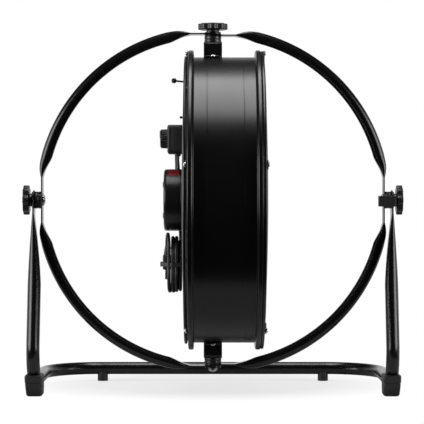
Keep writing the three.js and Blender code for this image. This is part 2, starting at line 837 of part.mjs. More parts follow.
// The rear grille's rim wire lies on its lugs. The front grille's lies under them, inside the drum's
// opening. The stand is from the bead's face out to the middle of the rim wire.
const opening = (shellRadius + beadLip) * Math.cos(Math.PI / shellFacets); // at its flats
const rearGrille = {
  side: -1,
  face: rearFace,
  stand: seatGap + lugThickness - lugWeld + rimWireRadius,
  dome: rearDome,
  radii: ringRadii(shellRadius - seatGap, motorCapRadius + capClearance, rearRings),
};
const frontGrille = {
  side: 1,
  face: frontFace,
  stand: seatGap + lugWeld - rimWireRadius,
  dome: frontDome,
  radii: ringRadii(opening - seatGap - rimWireRadius, centreDiscRadius, frontRings),
};

// Where the middle of a grille's wire is along the drum's axis, at a radius.
function wireX(grille, radius) {
  const { side, face, stand, dome, radii } = grille;
  return face + side * (stand + dome * (1 - (radius / radii[0]) ** 2));
}

// Direction across the drum's face for an angle above the horizontal, on the -Y side.
function lugDirection(degrees) {
  const angle = (degrees * Math.PI) / 180;
  return new THREE.Vector3(0, -Math.cos(angle), Math.sin(angle));
}

function wireRing(radius, x, isRim) {
  const around = isRim ? 48 : Math.max(14, Math.round(radius / 8));
  const ring = new THREE.TorusGeometry(radius, isRim ? rimWireRadius : wireRadius, isRim ? 5 : 4, around);
  return ring.applyMatrix4(drawnAcrossX).translate(x, 0, 0);
}

// The stays lie under the rings, and each weld sinks them a little way in.
const stayDrop = 2 * wireRadius - wireWeld;

// One stay, from the innermost ring out to the rim.
function stay(grille, direction) {
  const tangent = new THREE.Vector3(1, 0, 0).cross(direction);
  const [rim] = grille.radii;
  const innermost = grille.radii[grille.radii.length - 1];
  const rings = [0, 0.5, 1].map((t) => {
    const radius = THREE.MathUtils.lerp(innermost - 0.5, rim - 0.5, t);
    const x = wireX(grille, radius) - grille.side * stayDrop;
    const centre = direction.clone().multiplyScalar(radius).setX(x);
    const depth = new THREE.Vector3(1, 0, 0);
    return [
      centre.clone().addScaledVector(depth, wireRadius),
      centre.clone().addScaledVector(tangent, wireRadius),
      centre.clone().addScaledVector(depth, -wireRadius),
      centre.clone().addScaledVector(tangent, -wireRadius),
    ];
  });
  return loft(rings);
}

function lug(grille, degrees) {
  const near = grille.face + grille.side * seatGap;
  const far = near + grille.side * lugThickness;
  const outerEnd = beadTop - lugOverBead;
  const sides = [Math.min(near, far), Math.max(near, far)];
  const plate = box(sides, [-outerEnd, lugInside - grille.radii[0]], [-lugWidth / 2, lugWidth / 2]);
  return plate.rotateX((-degrees * Math.PI) / 180);
}

function wiresAndLugs(grille) {
  const parts = grille.radii.map((radius, i) => wireRing(radius, wireX(grille, radius), i === 0));
  for (let i = 0; i < lugCount; i++) {
    const degrees = firstLugAngle + (360 * i) / lugCount;
    parts.push(stay(grille, lugDirection(degrees)), lug(grille, degrees));
  }
  return parts;
}

// A plain disc welded inside the front grille's innermost ring.
function centreDisc() {
  const middle = wireX(frontGrille, centreDiscRadius);
  const half = centreDiscThickness / 2;
  return turnedX(rod(middle - half, middle + half, centreDiscRadius), 24);
}

// Motor, carried by a strut across the rear of the drum

function motorCap() {
  const rear = rearFace - motorCapStand;
  const r = motorCapRound;
  const edge = [0, 1, 2, 3].map((step) => {
    const angle = (step * Math.PI) / 6;
    return [rear + r - r * Math.cos(angle), motorCapRadius - r + r * Math.sin(angle)];
  });
  return turnedX([[rear, 0], ...edge, [capFront, motorCapRadius], [capFront, 0]], 36);
}

function motorBody() {
  const bearingSeat = bossFront - bearingLength;
  const body = turnedX(
    [
      [bodyRear, 0],
      [bodyRear, motorFlangeRadius],
      [bodyRear + motorFlangeThickness, motorFlangeRadius],
      [bodyRear + motorFlangeThickness + 1, motorBodyRadius],
      [bodyFront - 6, motorBodyRadius],
      [bodyFront, motorBodyRadius - 7],
      [bodyFront, motorBossRadius + 2],
      [bossFront, motorBossRadius],
      [bossFront, 0],
    ],
    28,
  );
  const bearingRoom = turnedX(rod(bearingSeat, bossFront + 1, bearingRadius + seatGap), 24);
  const shaftRoom = turnedX(rod(bossFront - shaftEmbed - 1, bossFront, shaftRadius + 1), 16);
  return cut(body, [bearingRoom, shaftRoom]);
}

// A strip across the drum with a disc round the motor, and a tab bent along the shell at each end.
function motorStrut() {
  const half = strutWidth / 2;
  const reach = Math.sqrt((shellBore - seatGap) ** 2 - half ** 2);
  const meet = Math.asin(half / strutDiscRadius);
  const meetHeight = strutDiscRadius * Math.cos(meet);
  const outline = new THREE.Shape();
  outline.moveTo(-half, -reach);
  outline.lineTo(half, -reach);
  outline.lineTo(half, -meetHeight);
  outline.absarc(0, 0, strutDiscRadius, meet - Math.PI / 2, Math.PI / 2 - meet, false);
  outline.lineTo(half, reach);
  outline.lineTo(-half, reach);
  outline.lineTo(-half, meetHeight);
  outline.absarc(0, 0, strutDiscRadius, Math.PI / 2 + meet, 1.5 * Math.PI - meet, false);
  const plate = slabAlongX(outline, strutX, capFront);
  const tab = [strutX, strutX + strutTab];
  const upper = box(tab, [-half, half], [reach - strutThickness, reach]);
  const lower = box(tab, [-half, half], [-reach, strutThickness - reach]);
  const hole = turnedX(rod(strutX - 5, capFront + 5, motorCapRadius + 2 * seatGap), 40);
  return cut(joined([plate, upper, lower]), [hole]);
}

function buildMotor() {
  const bearingRear = bossFront - bearingLength + seatGap;
  const bearing = sleeve(bearingRear, bossFront, shaftRadius + turnGap, bearingRadius);
  return groupOf(
    piece("motor_strut", motorStrut(), blackEnamel()),
    piece("motor_rear_cap", motorCap(), blackEnamel()),
    piece("motor_body", motorBody(), bareAluminium()),
    piece("motor_bearing", turnedX(bearing, 24), brightSteel()),
  );
}

// Fan

// A blade's middle surface. u runs from the leading to the trailing edge, v from root to tip. The
// blade leans from rear to front along its width, hollow towards the front, and sweeps forward.
function bladePoint(u, v, shift = 0) {
  const radius = THREE.MathUtils.lerp(bladeRoot, bladeTip, v);
  const tipRound = v > 0.82 ? Math.sqrt(1 - 0.6 * ((v - 0.82) / 0.18) ** 2) : 1;
  const widening = Math.sin((Math.PI / 2) * Math.min(Math.max(v, 0), 1));
  const width = THREE.MathUtils.lerp(bladeRootWidth, bladeTipWidth, widening) * tipRound;
  const depth = THREE.MathUtils.lerp(bladeRootDepth, bladeTipDepth, v) * tipRound;
  const across = u - 0.5;
  const angle = bladeSweep * v ** 2 + (across * width) / radius;
  const x = bladeMidX + across * depth - bladeCamber * (1 - 4 * across ** 2) + shift;
  return new THREE.Vector3(x, radius * Math.cos(angle), radius * Math.sin(angle));
}

// A closed sheet of even thickness along X between two edges of a blade's surface.
function bladeSheet(uRange, vRange, thickness, shift, uSteps, vSteps) {
  const rings = [];
  for (let j = 0; j <= vSteps; j++) {
    const v = THREE.MathUtils.lerp(vRange[0], vRange[1], j / vSteps);
    const uAt = (i) => THREE.MathUtils.lerp(uRange[0], uRange[1], i / uSteps);
    const rear = [];
    const front = [];
    for (let i = 0; i <= uSteps; i++) {
      rear.push(bladePoint(uAt(i), v, shift - thickness / 2));
      front.unshift(bladePoint(uAt(i), v, shift + thickness / 2));
    }
    rings.push([...rear, ...front]);
  }
  return strip(rings);
}

// A skin like loft's, for hollow sections: its end faces are closed from one side to the other.
function strip(rings) {
  const skin = loft(rings);
  const sides = rings[0].length;
  const last = (rings.length - 1) * sides;
  const index = Array.from(skin.index.array).slice(0, 6 * sides * (rings.length - 1));
  for (let i = 0; i + 1 < sides / 2; i++) {
    const far = sides - 1 - i;
    index.push(i, far, i + 1, i + 1, far, far - 1);
    index.push(last + i, last + i + 1, last + far, last + i + 1, last + far - 1, last + far);
  }
  skin.setIndex(index);
  return skin;
}

function buildFan() {
  const armShift = -(bladeThickness + armThickness) / 2 - armGap;
  const toV = (radius) => (radius - bladeRoot) / (bladeTip - bladeRoot);
  const discX = bladeMidX - bladeCamber + armShift;
  const shaftRear = bossFront - shaftEmbed;
  const hub = turnedX(
    [
      [hubRear, 0],
      [hubRear, hubRadius],
      [discX - armThickness / 2, hubRadius + 2],
      [discX - armThickness / 2, hubDiscRadius],
      [discX + armThickness / 2, hubDiscRadius],
      [discX + armThickness / 2, hubRadius + 2],
      [hubFront, hubRadius],
      [hubFront, 0],
    ],
    18,
  );
  const arm = bladeSheet([0.36, 0.64], [toV(armInner), toV(armOuter)], armThickness, armShift, 2, 4);
  const arms = Array.from({ length: bladeCount }, (_, i) =>
    arm.clone().rotateX((2 * Math.PI * i) / bladeCount),
  );
  const bore = turnedX(rod(shaftRear, 2 * shaftTip, shaftRadius + turnGap), 16);
  const fan = groupOf(
    piece("fan_shaft", turnedX(rod(shaftRear, shaftTip, shaftRadius), 16), brightSteel()),
    piece("fan_hub", cut(joined([hub, ...arms]), [bore]), blackEnamel()),
  );
  const blade = bladeSheet([0, 1], [0, 1], bladeThickness, 0, 6, 7);
  for (let i = 0; i < bladeCount; i++) {
    const sheet = piece("blade_" + (i + 1), blade.clone(), bareAluminium());
    sheet.rotation.x = (2 * Math.PI * i) / bladeCount;
    fan.add(sheet);
  }
  return fan;
}

// Switch box, dial and motor lead

const wireBackX = (radius) => wireX(rearGrille, radius) - wireRadius; // a rear ring's outer side
const boxFace = wireBackX(rearGrille.radii[hankHookRing]) - seatGap;
const boxRear = boxFace - boxDepth;
const dialZ = boxBottom + dialRise;
const reliefZ = boxBottom + reliefRise;

function turnedAlongY(profile, facets) {
  return turnedZ(profile, facets).rotateX(-Math.PI / 2);
}

function buildSwitchBox() {
  const centreZ = boxBottom + boxHeight / 2;
  const outline = roundedRectangle(boxWidth, boxHeight, boxCorner);
  const shell = slabAlongX(outline, boxRear, boxFace, 2, 2).translate(0, 0, centreZ);
  const spindleRoom = turnedX(rod(boxRear - 1, boxRear + spindleLength, spindleRadius + turnGap), 16);
  const cover = cut(shell, [spindleRoom.translate(0, 0, dialZ)]);
  const plateTop = boxBottom + boxHeight - clampPlateInset;
  const plateRear = wireX(rearGrille, plateTop) + stayDrop + wireRadius + seatGap;
  const plateOutline = roundedRectangle(
    boxWidth - 2 * clampPlateInset,
    boxHeight - 2 * clampPlateInset,
    boxCorner - 3,
  );
  const plate = slabAlongX(plateOutline, plateRear, plateRear + clampPlateThickness);
  const capTop = Math.sqrt(motorCapRadius ** 2 - leadForward ** 2);
  const collar = turnedZ(rod(boxBottom - leadCollar, boxBottom - seatGap, leadRadius + 2.2), 16);
  const leadEnds = [capTop + seatGap + 0.6, boxBottom - leadCollar - seatGap];
  const lead = new THREE.CatmullRomCurve3([
    new THREE.Vector3(leadX, -leadForward, leadEnds[1]),
    new THREE.Vector3(leadX - leadSway, -leadForward, THREE.MathUtils.lerp(leadEnds[1], leadEnds[0], 0.35)),
    new THREE.Vector3(leadX + leadSway, -leadForward, THREE.MathUtils.lerp(leadEnds[1], leadEnds[0], 0.65)),
    new THREE.Vector3(leadX, -leadForward, leadEnds[0]),
  ]);
  const relief = turnedAlongY(
    [
      [0, 0],
      [0, reliefRadius],
      [3, reliefRadius],
      [5, reliefRadius - 1.4],
      [reliefLength, cordRadius + 0.8],
      [reliefLength, 0],
    ],
    16,
  );
  return groupOf(
    piece("switch_box", cover, blackPlastic()),
    piece("box_clamp_plate", plate.translate(0, 0, centreZ), blackEnamel()),
    piece("lead_collar", collar.translate(leadX, -leadForward, 0), blackRubber()),
    piece("motor_lead", roundCord(lead, leadRadius, leadSteps), blackRubber()),
    piece("cord_relief", relief.translate(cordX, boxWidth / 2 + seatGap, reliefZ), blackRubber()),
  );
}

function buildDial() {
  const rear = boxRear - seatGap - dialHeight;
  const grip = turnedX(
    [
      [rear, 0],
      [rear, dialRadius - 2.5],
      [rear + 1.5, dialRadius - 1],
      [rear + dialHeight, dialRadius],
      [rear + dialHeight, spindleRadius],
      [rear + dialHeight + seatGap + spindleLength - 1, spindleRadius],
      [rear + dialHeight + seatGap + spindleLength - 1, 0],
    ],
    24,
  );
  const pointer = box([rear - 1, rear + 4], [-1.5, 1.5], [2, dialRadius - 2]);
  const dial = piece("switch_knob", joined([grip, pointer]), blackPlastic());
  dial.position.z = dialZ;
  return dial;
}

// A plain round tube along a curve, in a number of equal steps.
function roundCord(curve, radius, steps) {
  const section = new THREE.Shape();
  section.absarc(0, 0, radius, 0, 2 * Math.PI);
  const options = { steps, bevelEnabled: false, curveSegments: 4, extrudePath: curve };
  return new THREE.ExtrudeGeometry(section, options);
}

// A straight hook with a ball end, on the outer side of one of the rear grille's rings.
function cordHook(ring, reach, degrees) {
  const from = wireBackX(rearGrille.radii[ring]) - seatGap;
  const wire = turnedX(rod(from - reach, from, hookRodRadius), 8);
  const ball = new THREE.SphereGeometry(hookBallRadius, 10, 6).translate(from - reach, 0, 0);
  const place = lugDirection(degrees).multiplyScalar(rearGrille.radii[ring]);
  return joined([wire, ball]).translate(place.x, place.y, place.z);
}

// Mains cord: from its relief on the box, round the motor, into a tied hank with the plug on it

const cordX = (boxFace + boxRear) / 2;
const hankFace = wireBackX(rearGrille.radii[rearRings - 1]) - seatGap;
const hankBack = hankFace - hankLayers * turnPitch;
const hankWidth = hankOuterRadius + turnPitch / 2;
const firstTurnX = hankFace - turnPitch / 2;
const lastTurnX = hankBack - turnPitch / 2;
const plugFace = hankBack - seatGap;
const plugX = plugFace - plugDepth / 2;
const lastRunTop = -75.8;
const lastRunBottom = -101;

const hankEye = hankWidth - hankNested * turnPitch; // the inside of the innermost bend

// The hank hangs by its eye on the lower hook.
const hookTop = lugDirection(hankHookAngle).z * rearGrille.radii[hankHookRing] + hookRodRadius;
const hankHeight = hookTop + seatGap - hankStraight - hankEye + eyeFacetDip;

const cordLeadPoints = [
  [cordX, boxWidth / 2 + reliefLength + 2 * seatGap, reliefZ],
  [cordX, boxWidth / 2 + reliefLength + 3.5, reliefZ],
  [-64.2, 63, 96.5],
  [-64, 67.5, 95],
  [-63.8, 74, 90.5],
  [-63.5, 79, 83.5],
  [-63.3, 81.8, 74],
  [-63, 82.5, 62],
  [-62.8, 81.5, 46],
  [-62.5, 79, 28],
  [-62, 75.5, 10],
  [-61.4, 70.5, -7],
  [-60.3, 64, -21],
  [-59, 56.3, -32.5],
  [-57.6, 48.5, -41.5],
  [-56.4, 41.5, -48.5],
  [-55.7, 36, -55.3],
  [-55.5, 32.2, -61.5],
  [firstTurnX, hankOuterRadius + 0.1, -67],
  [firstTurnX, hankOuterRadius, hankHeight + hankShoulder + seatGap],
];

const cordTailPoints = [
  [lastTurnX, -hankOuterRadius, lastRunTop + seatGap],
  [lastTurnX, -30.2, -73.5],
  [-74.5, -28.6, -68.2],
  [-75.2, -24.4, -62.6],
  [-76, -18.2, -58.9],
  [-76.8, -10.7, -57.6],
  [-77.5, -3.2, -58.9],
  [-78, 3, -62.6],
  [-78.3, 7.2, -68.2],
  [plugX, plugSide - 0.1, -74.5],
  [plugX, plugSide, plugTop + plugNeckLength + seatGap],
];

const throughPoints = (points) => new THREE.CatmullRomCurve3(points.map((p) => new THREE.Vector3(...p)));

// How far the tie draws the runs in, at a height above the hank's middle.
function pinchAt(z) {
  const share = Math.min(Math.abs(z) / hankPinchReach, 1);
  return hankPinch * Math.cos((Math.PI / 2) * share) ** 2;
}

// A closed line round the hank's middle, with round ends of one radius and its sides drawn in.
function hankLine(radius) {
  const right = [-10, -5, 0, 5, 10].map((z) => [radius - pinchAt(z), z]);
  for (let step = 0; step <= 5; step++) {
    const angle = (step * Math.PI) / 10;
    const z = hankStraight + radius * Math.sin(angle);
    const y = step === 5 ? 0 : radius * Math.cos(angle) - pinchAt(z);
    right.push([y, z]);
    right.unshift([y, -z]);
  }
  const left = right.slice(1, -1).reverse();
  return polygon([...right, ...left.map(([y, z]) => [-y, z])]);
}

function cordHank() {
  const outline = hankLine(hankWidth);
  outline.holes.push(hankLine(hankEye));
  const windings = slabAlongX(outline, hankBack, hankFace).translate(0, 0, hankHeight);
  const runY = [hankOuterRadius - turnPitch / 2, hankWidth];
  const shoulderZ = [hankHeight + hankStraight, hankHeight + hankShoulder];
  const shoulder = box([hankFace - turnPitch, hankFace], runY, shoulderZ);
  const runSteps = [0, 1 / 3, 2 / 3, 1].map((t) => THREE.MathUtils.lerp(lastRunBottom, lastRunTop, t));
  const lastRun = loft(
    runSteps.map((z) => {
      const y = -(hankOuterRadius - pinchAt(z - hankHeight));
      const half = turnPitch / 2;
      const corners = [
        [hankBack + 1, y - half],
        [hankBack + 1, y + half],
        [lastTurnX - half, y + half],
        [lastTurnX - half, y - half],
      ];
      return corners.map(([x, across]) => new THREE.Vector3(x, across, z));
    }),
  );
  return joined([windings, shoulder, lastRun]);
}

// The strap goes round the hank's middle and the plug.
function cordTie() {
  const middle = hankWidth - pinchAt(tieWidth - 2) + seatGap;
  const plugBack = plugX - plugDepth / 2 - seatGap;
  const inner = [
    [hankFace + seatGap, middle],
    [hankBack, middle],
    [plugBack, plugSide + plugWidth / 2 + seatGap],
    [plugBack, plugSide - plugWidth / 2 - seatGap],
    [hankBack, -middle],
    [hankFace + seatGap, -middle],
  ];
  const centreX = (hankFace + plugBack) / 2;
  const outer = inner.map(([x, y]) => {
    const reach = Math.hypot(x - centreX, y);
    const grown = 1 + (1.2 * tieThickness) / reach;
    return [centreX + (x - centreX) * grown, y * grown];
  });
  const band = polygon(outer);
  band.holes.push(polygon(inner));
  return extruded(band, tieWidth).translate(0, 0, hankHeight - tieWidth / 2);
}

function plug() {
  const centreZ = plugTop - plugLength / 2;
  const outline = roundedRectangle(plugWidth, plugLength, 4);
  const body = slabAlongX(outline, plugFace - plugDepth, plugFace, 2).translate(0, plugSide, centreZ);
  const neck = turnedZ(
    [
      [plugTop - 2, 0],
      [plugTop - 2, cordRadius + 2.6],
      [plugTop + plugNeckLength, cordRadius + 0.8],
      [plugTop + plugNeckLength, 0],
    ],
    16,
  ).translate(plugX, plugSide, 0);
  const prongs = [-1, 1].map((side) => {
    const y = plugSide + (side * prongPitch) / 2;
    const tip = plugTop - plugLength - prongLength;
    return box(
      [plugX - prongWidth / 2, plugX + prongWidth / 2],
      [y - prongThickness / 2, y + prongThickness / 2],
      [tip, plugTop - plugLength + 2],
    );
  });
  return joined([body, neck, ...prongs]);
}

function buildCord() {
  return groupOf(
    piece("cord_lead", roundCord(throughPoints(cordLeadPoints), cordRadius, 28), blackRubber()),
    piece("cord_hank", cordHank(), blackRubber()),
    piece("cord_tail", roundCord(throughPoints(cordTailPoints), cordRadius, 10), blackRubber()),
    piece("plug", plug(), blackRubber()),
    piece("cord_tie", cordTie(), blackPlastic()),
  );
}

function buildDrum() {
  return groupOf(
    piece("drum_shell", drumShell(), blackEnamel()),
    piece("rear_grille", joined(wiresAndLugs(rearGrille)), blackEnamel()),
    piece("front_grille", joined([...wiresAndLugs(frontGrille), centreDisc()]), blackEnamel()),
    buildPivots(),
    buildMotor(),
    buildSwitchBox(),
    piece("cord_hook_upper", cordHook(hookRing, hookReach, hookAngle), blackEnamel()),
    piece("cord_hook_lower", cordHook(hankHookRing, hankHookReach, hankHookAngle), blackEnamel()),
    buildCord(),
  );
}

const aboutPivot = groupOf(buildRing(), buildKnobs(), buildDrum(), buildFan(), buildDial());
aboutPivot.position.z = pivotHeight;

export default groupOf(buildStand(), aboutPivot);
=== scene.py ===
import math

import bmesh
import bpy
import mathutils
import numpy as np
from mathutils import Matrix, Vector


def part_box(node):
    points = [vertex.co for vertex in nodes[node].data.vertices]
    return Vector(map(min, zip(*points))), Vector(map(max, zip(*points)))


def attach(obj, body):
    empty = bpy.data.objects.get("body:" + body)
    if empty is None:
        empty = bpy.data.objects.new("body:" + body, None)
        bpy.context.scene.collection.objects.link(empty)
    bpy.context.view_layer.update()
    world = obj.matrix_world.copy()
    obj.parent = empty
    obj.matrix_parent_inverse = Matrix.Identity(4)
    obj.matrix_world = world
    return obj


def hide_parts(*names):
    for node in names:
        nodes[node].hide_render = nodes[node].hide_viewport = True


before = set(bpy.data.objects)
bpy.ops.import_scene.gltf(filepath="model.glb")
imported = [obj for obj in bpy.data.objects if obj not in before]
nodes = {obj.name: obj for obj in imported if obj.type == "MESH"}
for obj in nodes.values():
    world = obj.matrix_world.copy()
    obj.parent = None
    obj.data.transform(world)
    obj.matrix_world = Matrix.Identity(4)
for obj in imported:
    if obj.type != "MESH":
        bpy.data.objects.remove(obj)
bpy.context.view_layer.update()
mm = 0.001
tau = 2 * math.pi
pivotHeight = 330.0
pivotAt = (0, 0, pivotHeight)
pivot = pivotHeight * mm
onAxis = 0.001  # the radius of a turned profile's point on its axis
seatGap = 0.3  # between two pieces that touch
noLimit = 1e9
print("frame loaded")


# Camera: level with the pivot and straight in front, as the photograph is taken, and pitched down a
# little

cameraSizes = {
    "distance": 3.145, "aside": -0.0015, "pitch": 0.37, "photoWidth": 424, "metresPerPixel": 0.0017,
    "sensor": 36, "farthest": 60,
}


def makeCamera():
    s = cameraSizes
    camera = bpy.data.objects.new("camera", bpy.data.cameras.new("camera"))
    camera.data.sensor_width = s["sensor"]
    camera.data.lens = s["sensor"] * s["distance"] / (s["photoWidth"] * s["metresPerPixel"])
    camera.data.clip_end = s["farthest"]
    camera.location = (s["aside"], -s["distance"], pivot)
    camera.rotation_euler = (math.radians(90 - s["pitch"]), 0, 0)
    bpy.context.scene.collection.objects.link(camera)
    bpy.context.scene.camera = camera


makeCamera()


# Materials

class Value:
    # One socket's value, with sums and products written as they are on paper.
    def __init__(self, maker, socket):
        self.maker = maker
        self.socket = socket

    def __add__(self, other):
        return self.maker.maths("ADD", self, other)

    def __mul__(self, other):
        return self.maker.maths("MULTIPLY", self, other)

    # A number may stand first too
    __radd__ = __add__
    __rmul__ = __mul__


class Nodes:
    # A tree of shader nodes, where each call adds one and gives its output as a Value.
    def __init__(self, tree):
        self.tree = tree

    def node(self, kind, output=0, inputs=None, **settings):
        made = self.tree.nodes.new(kind)
        for key, value in settings.items():
            setattr(made, key, value)
        for key, value in (inputs or {}).items():
            self.feed(made.inputs[key], value)
        return Value(self, made.outputs[output])

    def feed(self, socket, value):
        if isinstance(value, Value):
            self.tree.links.new(value.socket, socket)
        else:
            socket.default_value = value

    def maths(self, operation, a, b):
        return self.node("ShaderNodeMath", operation=operation, inputs={0: a, 1: b})

    def span(self, value, low, high, toLow=0.0, toHigh=1.0):
        # toLow where the value is low, toHigh where it is high, and level beyond them.
        inputs = {"Value": value, "From Min": low, "From Max": high, "To Min": toLow, "To Max": toHigh}
        return self.node("ShaderNodeMapRange", inputs=inputs)


class Paint(Nodes):
    # A material: constant values go on the shader's own sockets, and varied ones come through nodes.
    def __init__(self, name, color, roughness, **fixed):
        self.material = bpy.data.materials.new(name)
        self.material.use_nodes = True
        super().__init__(self.material.node_tree)
        self.shader = self.tree.nodes["Principled BSDF"]
        self.shader.inputs["Base Color"].default_value = (*color, 1)
        self.shader.inputs["Roughness"].default_value = roughness
        for key, value in fixed.items():
            self.shader.inputs[key.replace("_", " ")].default_value = value
        self.place = self.node("ShaderNodeTexCoord", "Object")

    def noise(self, scale, detail, roughness=0.5, stretch=(1, 1, 1)):
        place = self.node("ShaderNodeMapping", inputs={"Vector": self.place, "Scale": stretch})
        inputs = {"Vector": place, "Scale": scale, "Detail": detail, "Roughness": roughness}
        return self.node("ShaderNodeTexNoise", inputs=inputs)

    def mixed(self, share, a, b):
        # Two colours mixed by a share. Sockets 6 and 7 take the colours, and output 2 gives theirs.
        first, second = ((*c, 1) if isinstance(c, tuple) else c for c in (a, b))
        inputs = {0: share, 6: first, 7: second}
        return self.node("ShaderNodeMix", 2, data_type="RGBA", inputs=inputs)

    def bump(self, height, distance, strength):
        inputs = {"Height": height, "Distance": distance, "Strength": strength}
        normal = self.node("ShaderNodeBump", inputs=inputs)
        self.feed(self.shader.inputs["Normal"], normal)

    def upward(self):
        # From 0 on a wall to 1 on a level top, where dust settles.
        normal = self.node("ShaderNodeNewGeometry", "Normal")
        parts = self.node("ShaderNodeSeparateXYZ", "Z", inputs={0: normal})
        return self.span(parts, 0.2, 1.0)

    def vary(self, name, value):
        self.feed(self.shader.inputs[name], value)


def enamel(name, color, roughness, dust):
    # Glossy paint: faint orange peel, cloudy smears in the gloss and a little dust on level tops.
    paint = Paint(name, color, roughness, Specular_IOR_Level=0.4)
    smears = paint.noise(9, 4, 0.6)
    specks = paint.span(paint.noise(900, 2), 0.62, 0.72)
    settled = paint.upward() * paint.span(paint.noise(30, 5, 0.7), 0.35, 0.75) * dust
    shade = paint.mixed(settled, color, tuple(min(1, c * 2.2 + 0.02) for c in color))
    paint.vary("Base Color", paint.mixed(specks * paint.upward() * dust, shade, (0.16, 0.155, 0.15)))
    gloss = paint.span(smears, 0.3, 0.7, roughness - 0.02, roughness + 0.03)
    paint.vary("Roughness", gloss + settled * 0.25)
    paint.bump(paint.noise(240, 2, 0.4), 0.00001, 0.15)
    return paint.material


def moulded(name, color, roughness, grain, depth):
    # Moulded plastic or rubber: a fine spark-eroded grain with slow changes of tone.
    paint = Paint(name, color, roughness, Specular_IOR_Level=0.45)
    slow = paint.noise(24, 4, 0.6)
    fine = paint.noise(grain, 3, 0.6)
    paler = tuple(c * 1.4 + 0.002 for c in color)
    paint.vary("Base Color", paint.mixed(paint.span(slow, 0.3, 0.75), color, paler))
    paint.vary("Roughness", paint.span(fine + slow * 0.5, 0.4, 1.1, roughness - 0.07, roughness + 0.1))
    paint.bump(fine, depth, 0.6)
    return paint.material


def metal(name, color, roughness, streak, scale, depth=0.00002):
    # Bare metal: fine specks, drawn out into streaks along an axis of small scale, and cloudy patches.
    paint = Paint(name, color, roughness, Metallic=1.0)
    lines = paint.noise(scale, 4, 0.65, stretch=streak)
    clouds = paint.noise(22, 4, 0.6)
    tone = paint.span(lines * 0.6 + clouds * 0.6, 0.4, 0.85)
    paint.vary("Base Color", paint.mixed(tone, tuple(c * 0.78 for c in color), color))
    paint.vary("Roughness", paint.span(lines + clouds * 0.4, 0.4, 1.0, roughness - 0.06, roughness + 0.12))
    paint.bump(lines, depth, 0.5)
    return paint.material


shellEnamel = enamel("shell_enamel", (0.0016, 0.0016, 0.0018), 0.29, 0.06)
tubeEnamel = enamel("tube_enamel", (0.0035, 0.0035, 0.004), 0.22, 0.12)
wireEnamel = enamel("wire_enamel", (0.0045, 0.0045, 0.005), 0.34, 0.15)
capEnamel = enamel("cap_enamel", (0.0045, 0.0045, 0.005), 0.32, 0.15)
knobPlastic = moulded("knob_plastic", (0.006, 0.006, 0.0065), 0.36, 1400, 0.00002)
boxPlastic = moulded("box_plastic", (0.0075, 0.0075, 0.008), 0.48, 1100, 0.00005)
spacerPlastic = moulded("spacer_plastic", (0.0045, 0.0045, 0.005), 0.34, 1400, 0.00002)
shoeRubber = moulded("shoe_rubber", (0.004, 0.004, 0.0045), 0.5, 700, 0.00004)
cordRubber = moulded("cord_rubber", (0.007, 0.007, 0.0075), 0.42, 900, 0.00004)
plugRubber = moulded("plug_rubber", (0.012, 0.012, 0.013), 0.46, 800, 0.00005)
zincSteel = metal("zinc_steel", (0.72, 0.74, 0.77), 0.16, (1, 1, 1), 300)
chromeSteel = metal("chrome_steel", (0.8, 0.82, 0.84), 0.08, (1, 1, 1), 120, 0.000005)
rolledAluminium = metal("rolled_aluminium", (0.66, 0.67, 0.68), 0.32, (0.15, 1, 0.03), 500)
castAluminium = metal("cast_aluminium", (0.5, 0.51, 0.52), 0.45, (1, 1, 1), 600, 0.00008)
prongMetal = metal("prong_metal", (0.83, 0.74, 0.6), 0.2, (1, 1, 0.1), 300)
redMark = moulded("red_mark", (0.14, 0.003, 0.007), 0.4, 900, 0.00001)
paleMark = moulded("pale_mark", (0.62, 0.62, 0.6), 0.5, 900, 0.00001)

print("materials made")


# Mesh helpers

def meshPiece(name, points, faces, material, crease):
    # One object at the origin from an array of points and a list of faces, with its faces turned out.
    mesh = bpy.data.meshes.new(name)
    mesh.from_pydata(np.asarray(points, float).reshape(-1, 3), [], faces)
    made = bmesh.new()
    made.from_mesh(mesh)
    bmesh.ops.recalc_face_normals(made, faces=made.faces)
    made.to_mesh(mesh)
    made.free()
    mesh.shade_smooth()
    mesh.set_sharp_from_angle(angle=math.radians(crease))
    mesh.materials.append(material)
    piece = bpy.data.objects.new(name, mesh)
    bpy.context.scene.collection.objects.link(piece)
    return piece


def placed(piece, body, *replaced):
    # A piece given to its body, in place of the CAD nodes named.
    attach(piece, body)
    if replaced:
        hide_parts(*replaced)
    return piece


def add(name, shape, material, body, *replaced, crease=35):
    # A shape as a new piece, placed. Edges sharper than the crease's angle stay sharp.
    return placed(meshPiece(name, *shape, material, crease), body, *replaced)


def skin(rings, looped=False):
    # Points in rings of equal count, joined by four-sided faces; the rings close on themselves, and
    # the first meets the last where looped, or each end gets one flat face.
    rings = np.asarray(rings, float)
    count, sides = rings.shape[:2]
    ring = np.arange(count if looped else count - 1)[:, None]
    side = np.arange(sides)[None, :]
    after = (ring + 1) % count
    beside = (side + 1) % sides
    corners = [ring * sides + side, ring * sides + beside, after * sides + beside, after * sides + side]
    faces = np.stack(np.broadcast_arrays(*corners), -1).reshape(-1, 4).tolist()
    if not looped:
        faces.append(list(range(sides)))
        faces.append(list(range((count - 1) * sides, count * sides)))
    return rings.reshape(-1, 3), faces


def merged(shapes):
    # Several shapes' points and faces as one.
    points, faces, start = [], [], 0
    for shapePoints, shapeFaces in shapes:
        points.append(np.asarray(shapePoints, float).reshape(-1, 3))
        faces += [[start + i for i in face] for face in shapeFaces]
        start += len(points[-1])
    return np.concatenate(points), faces


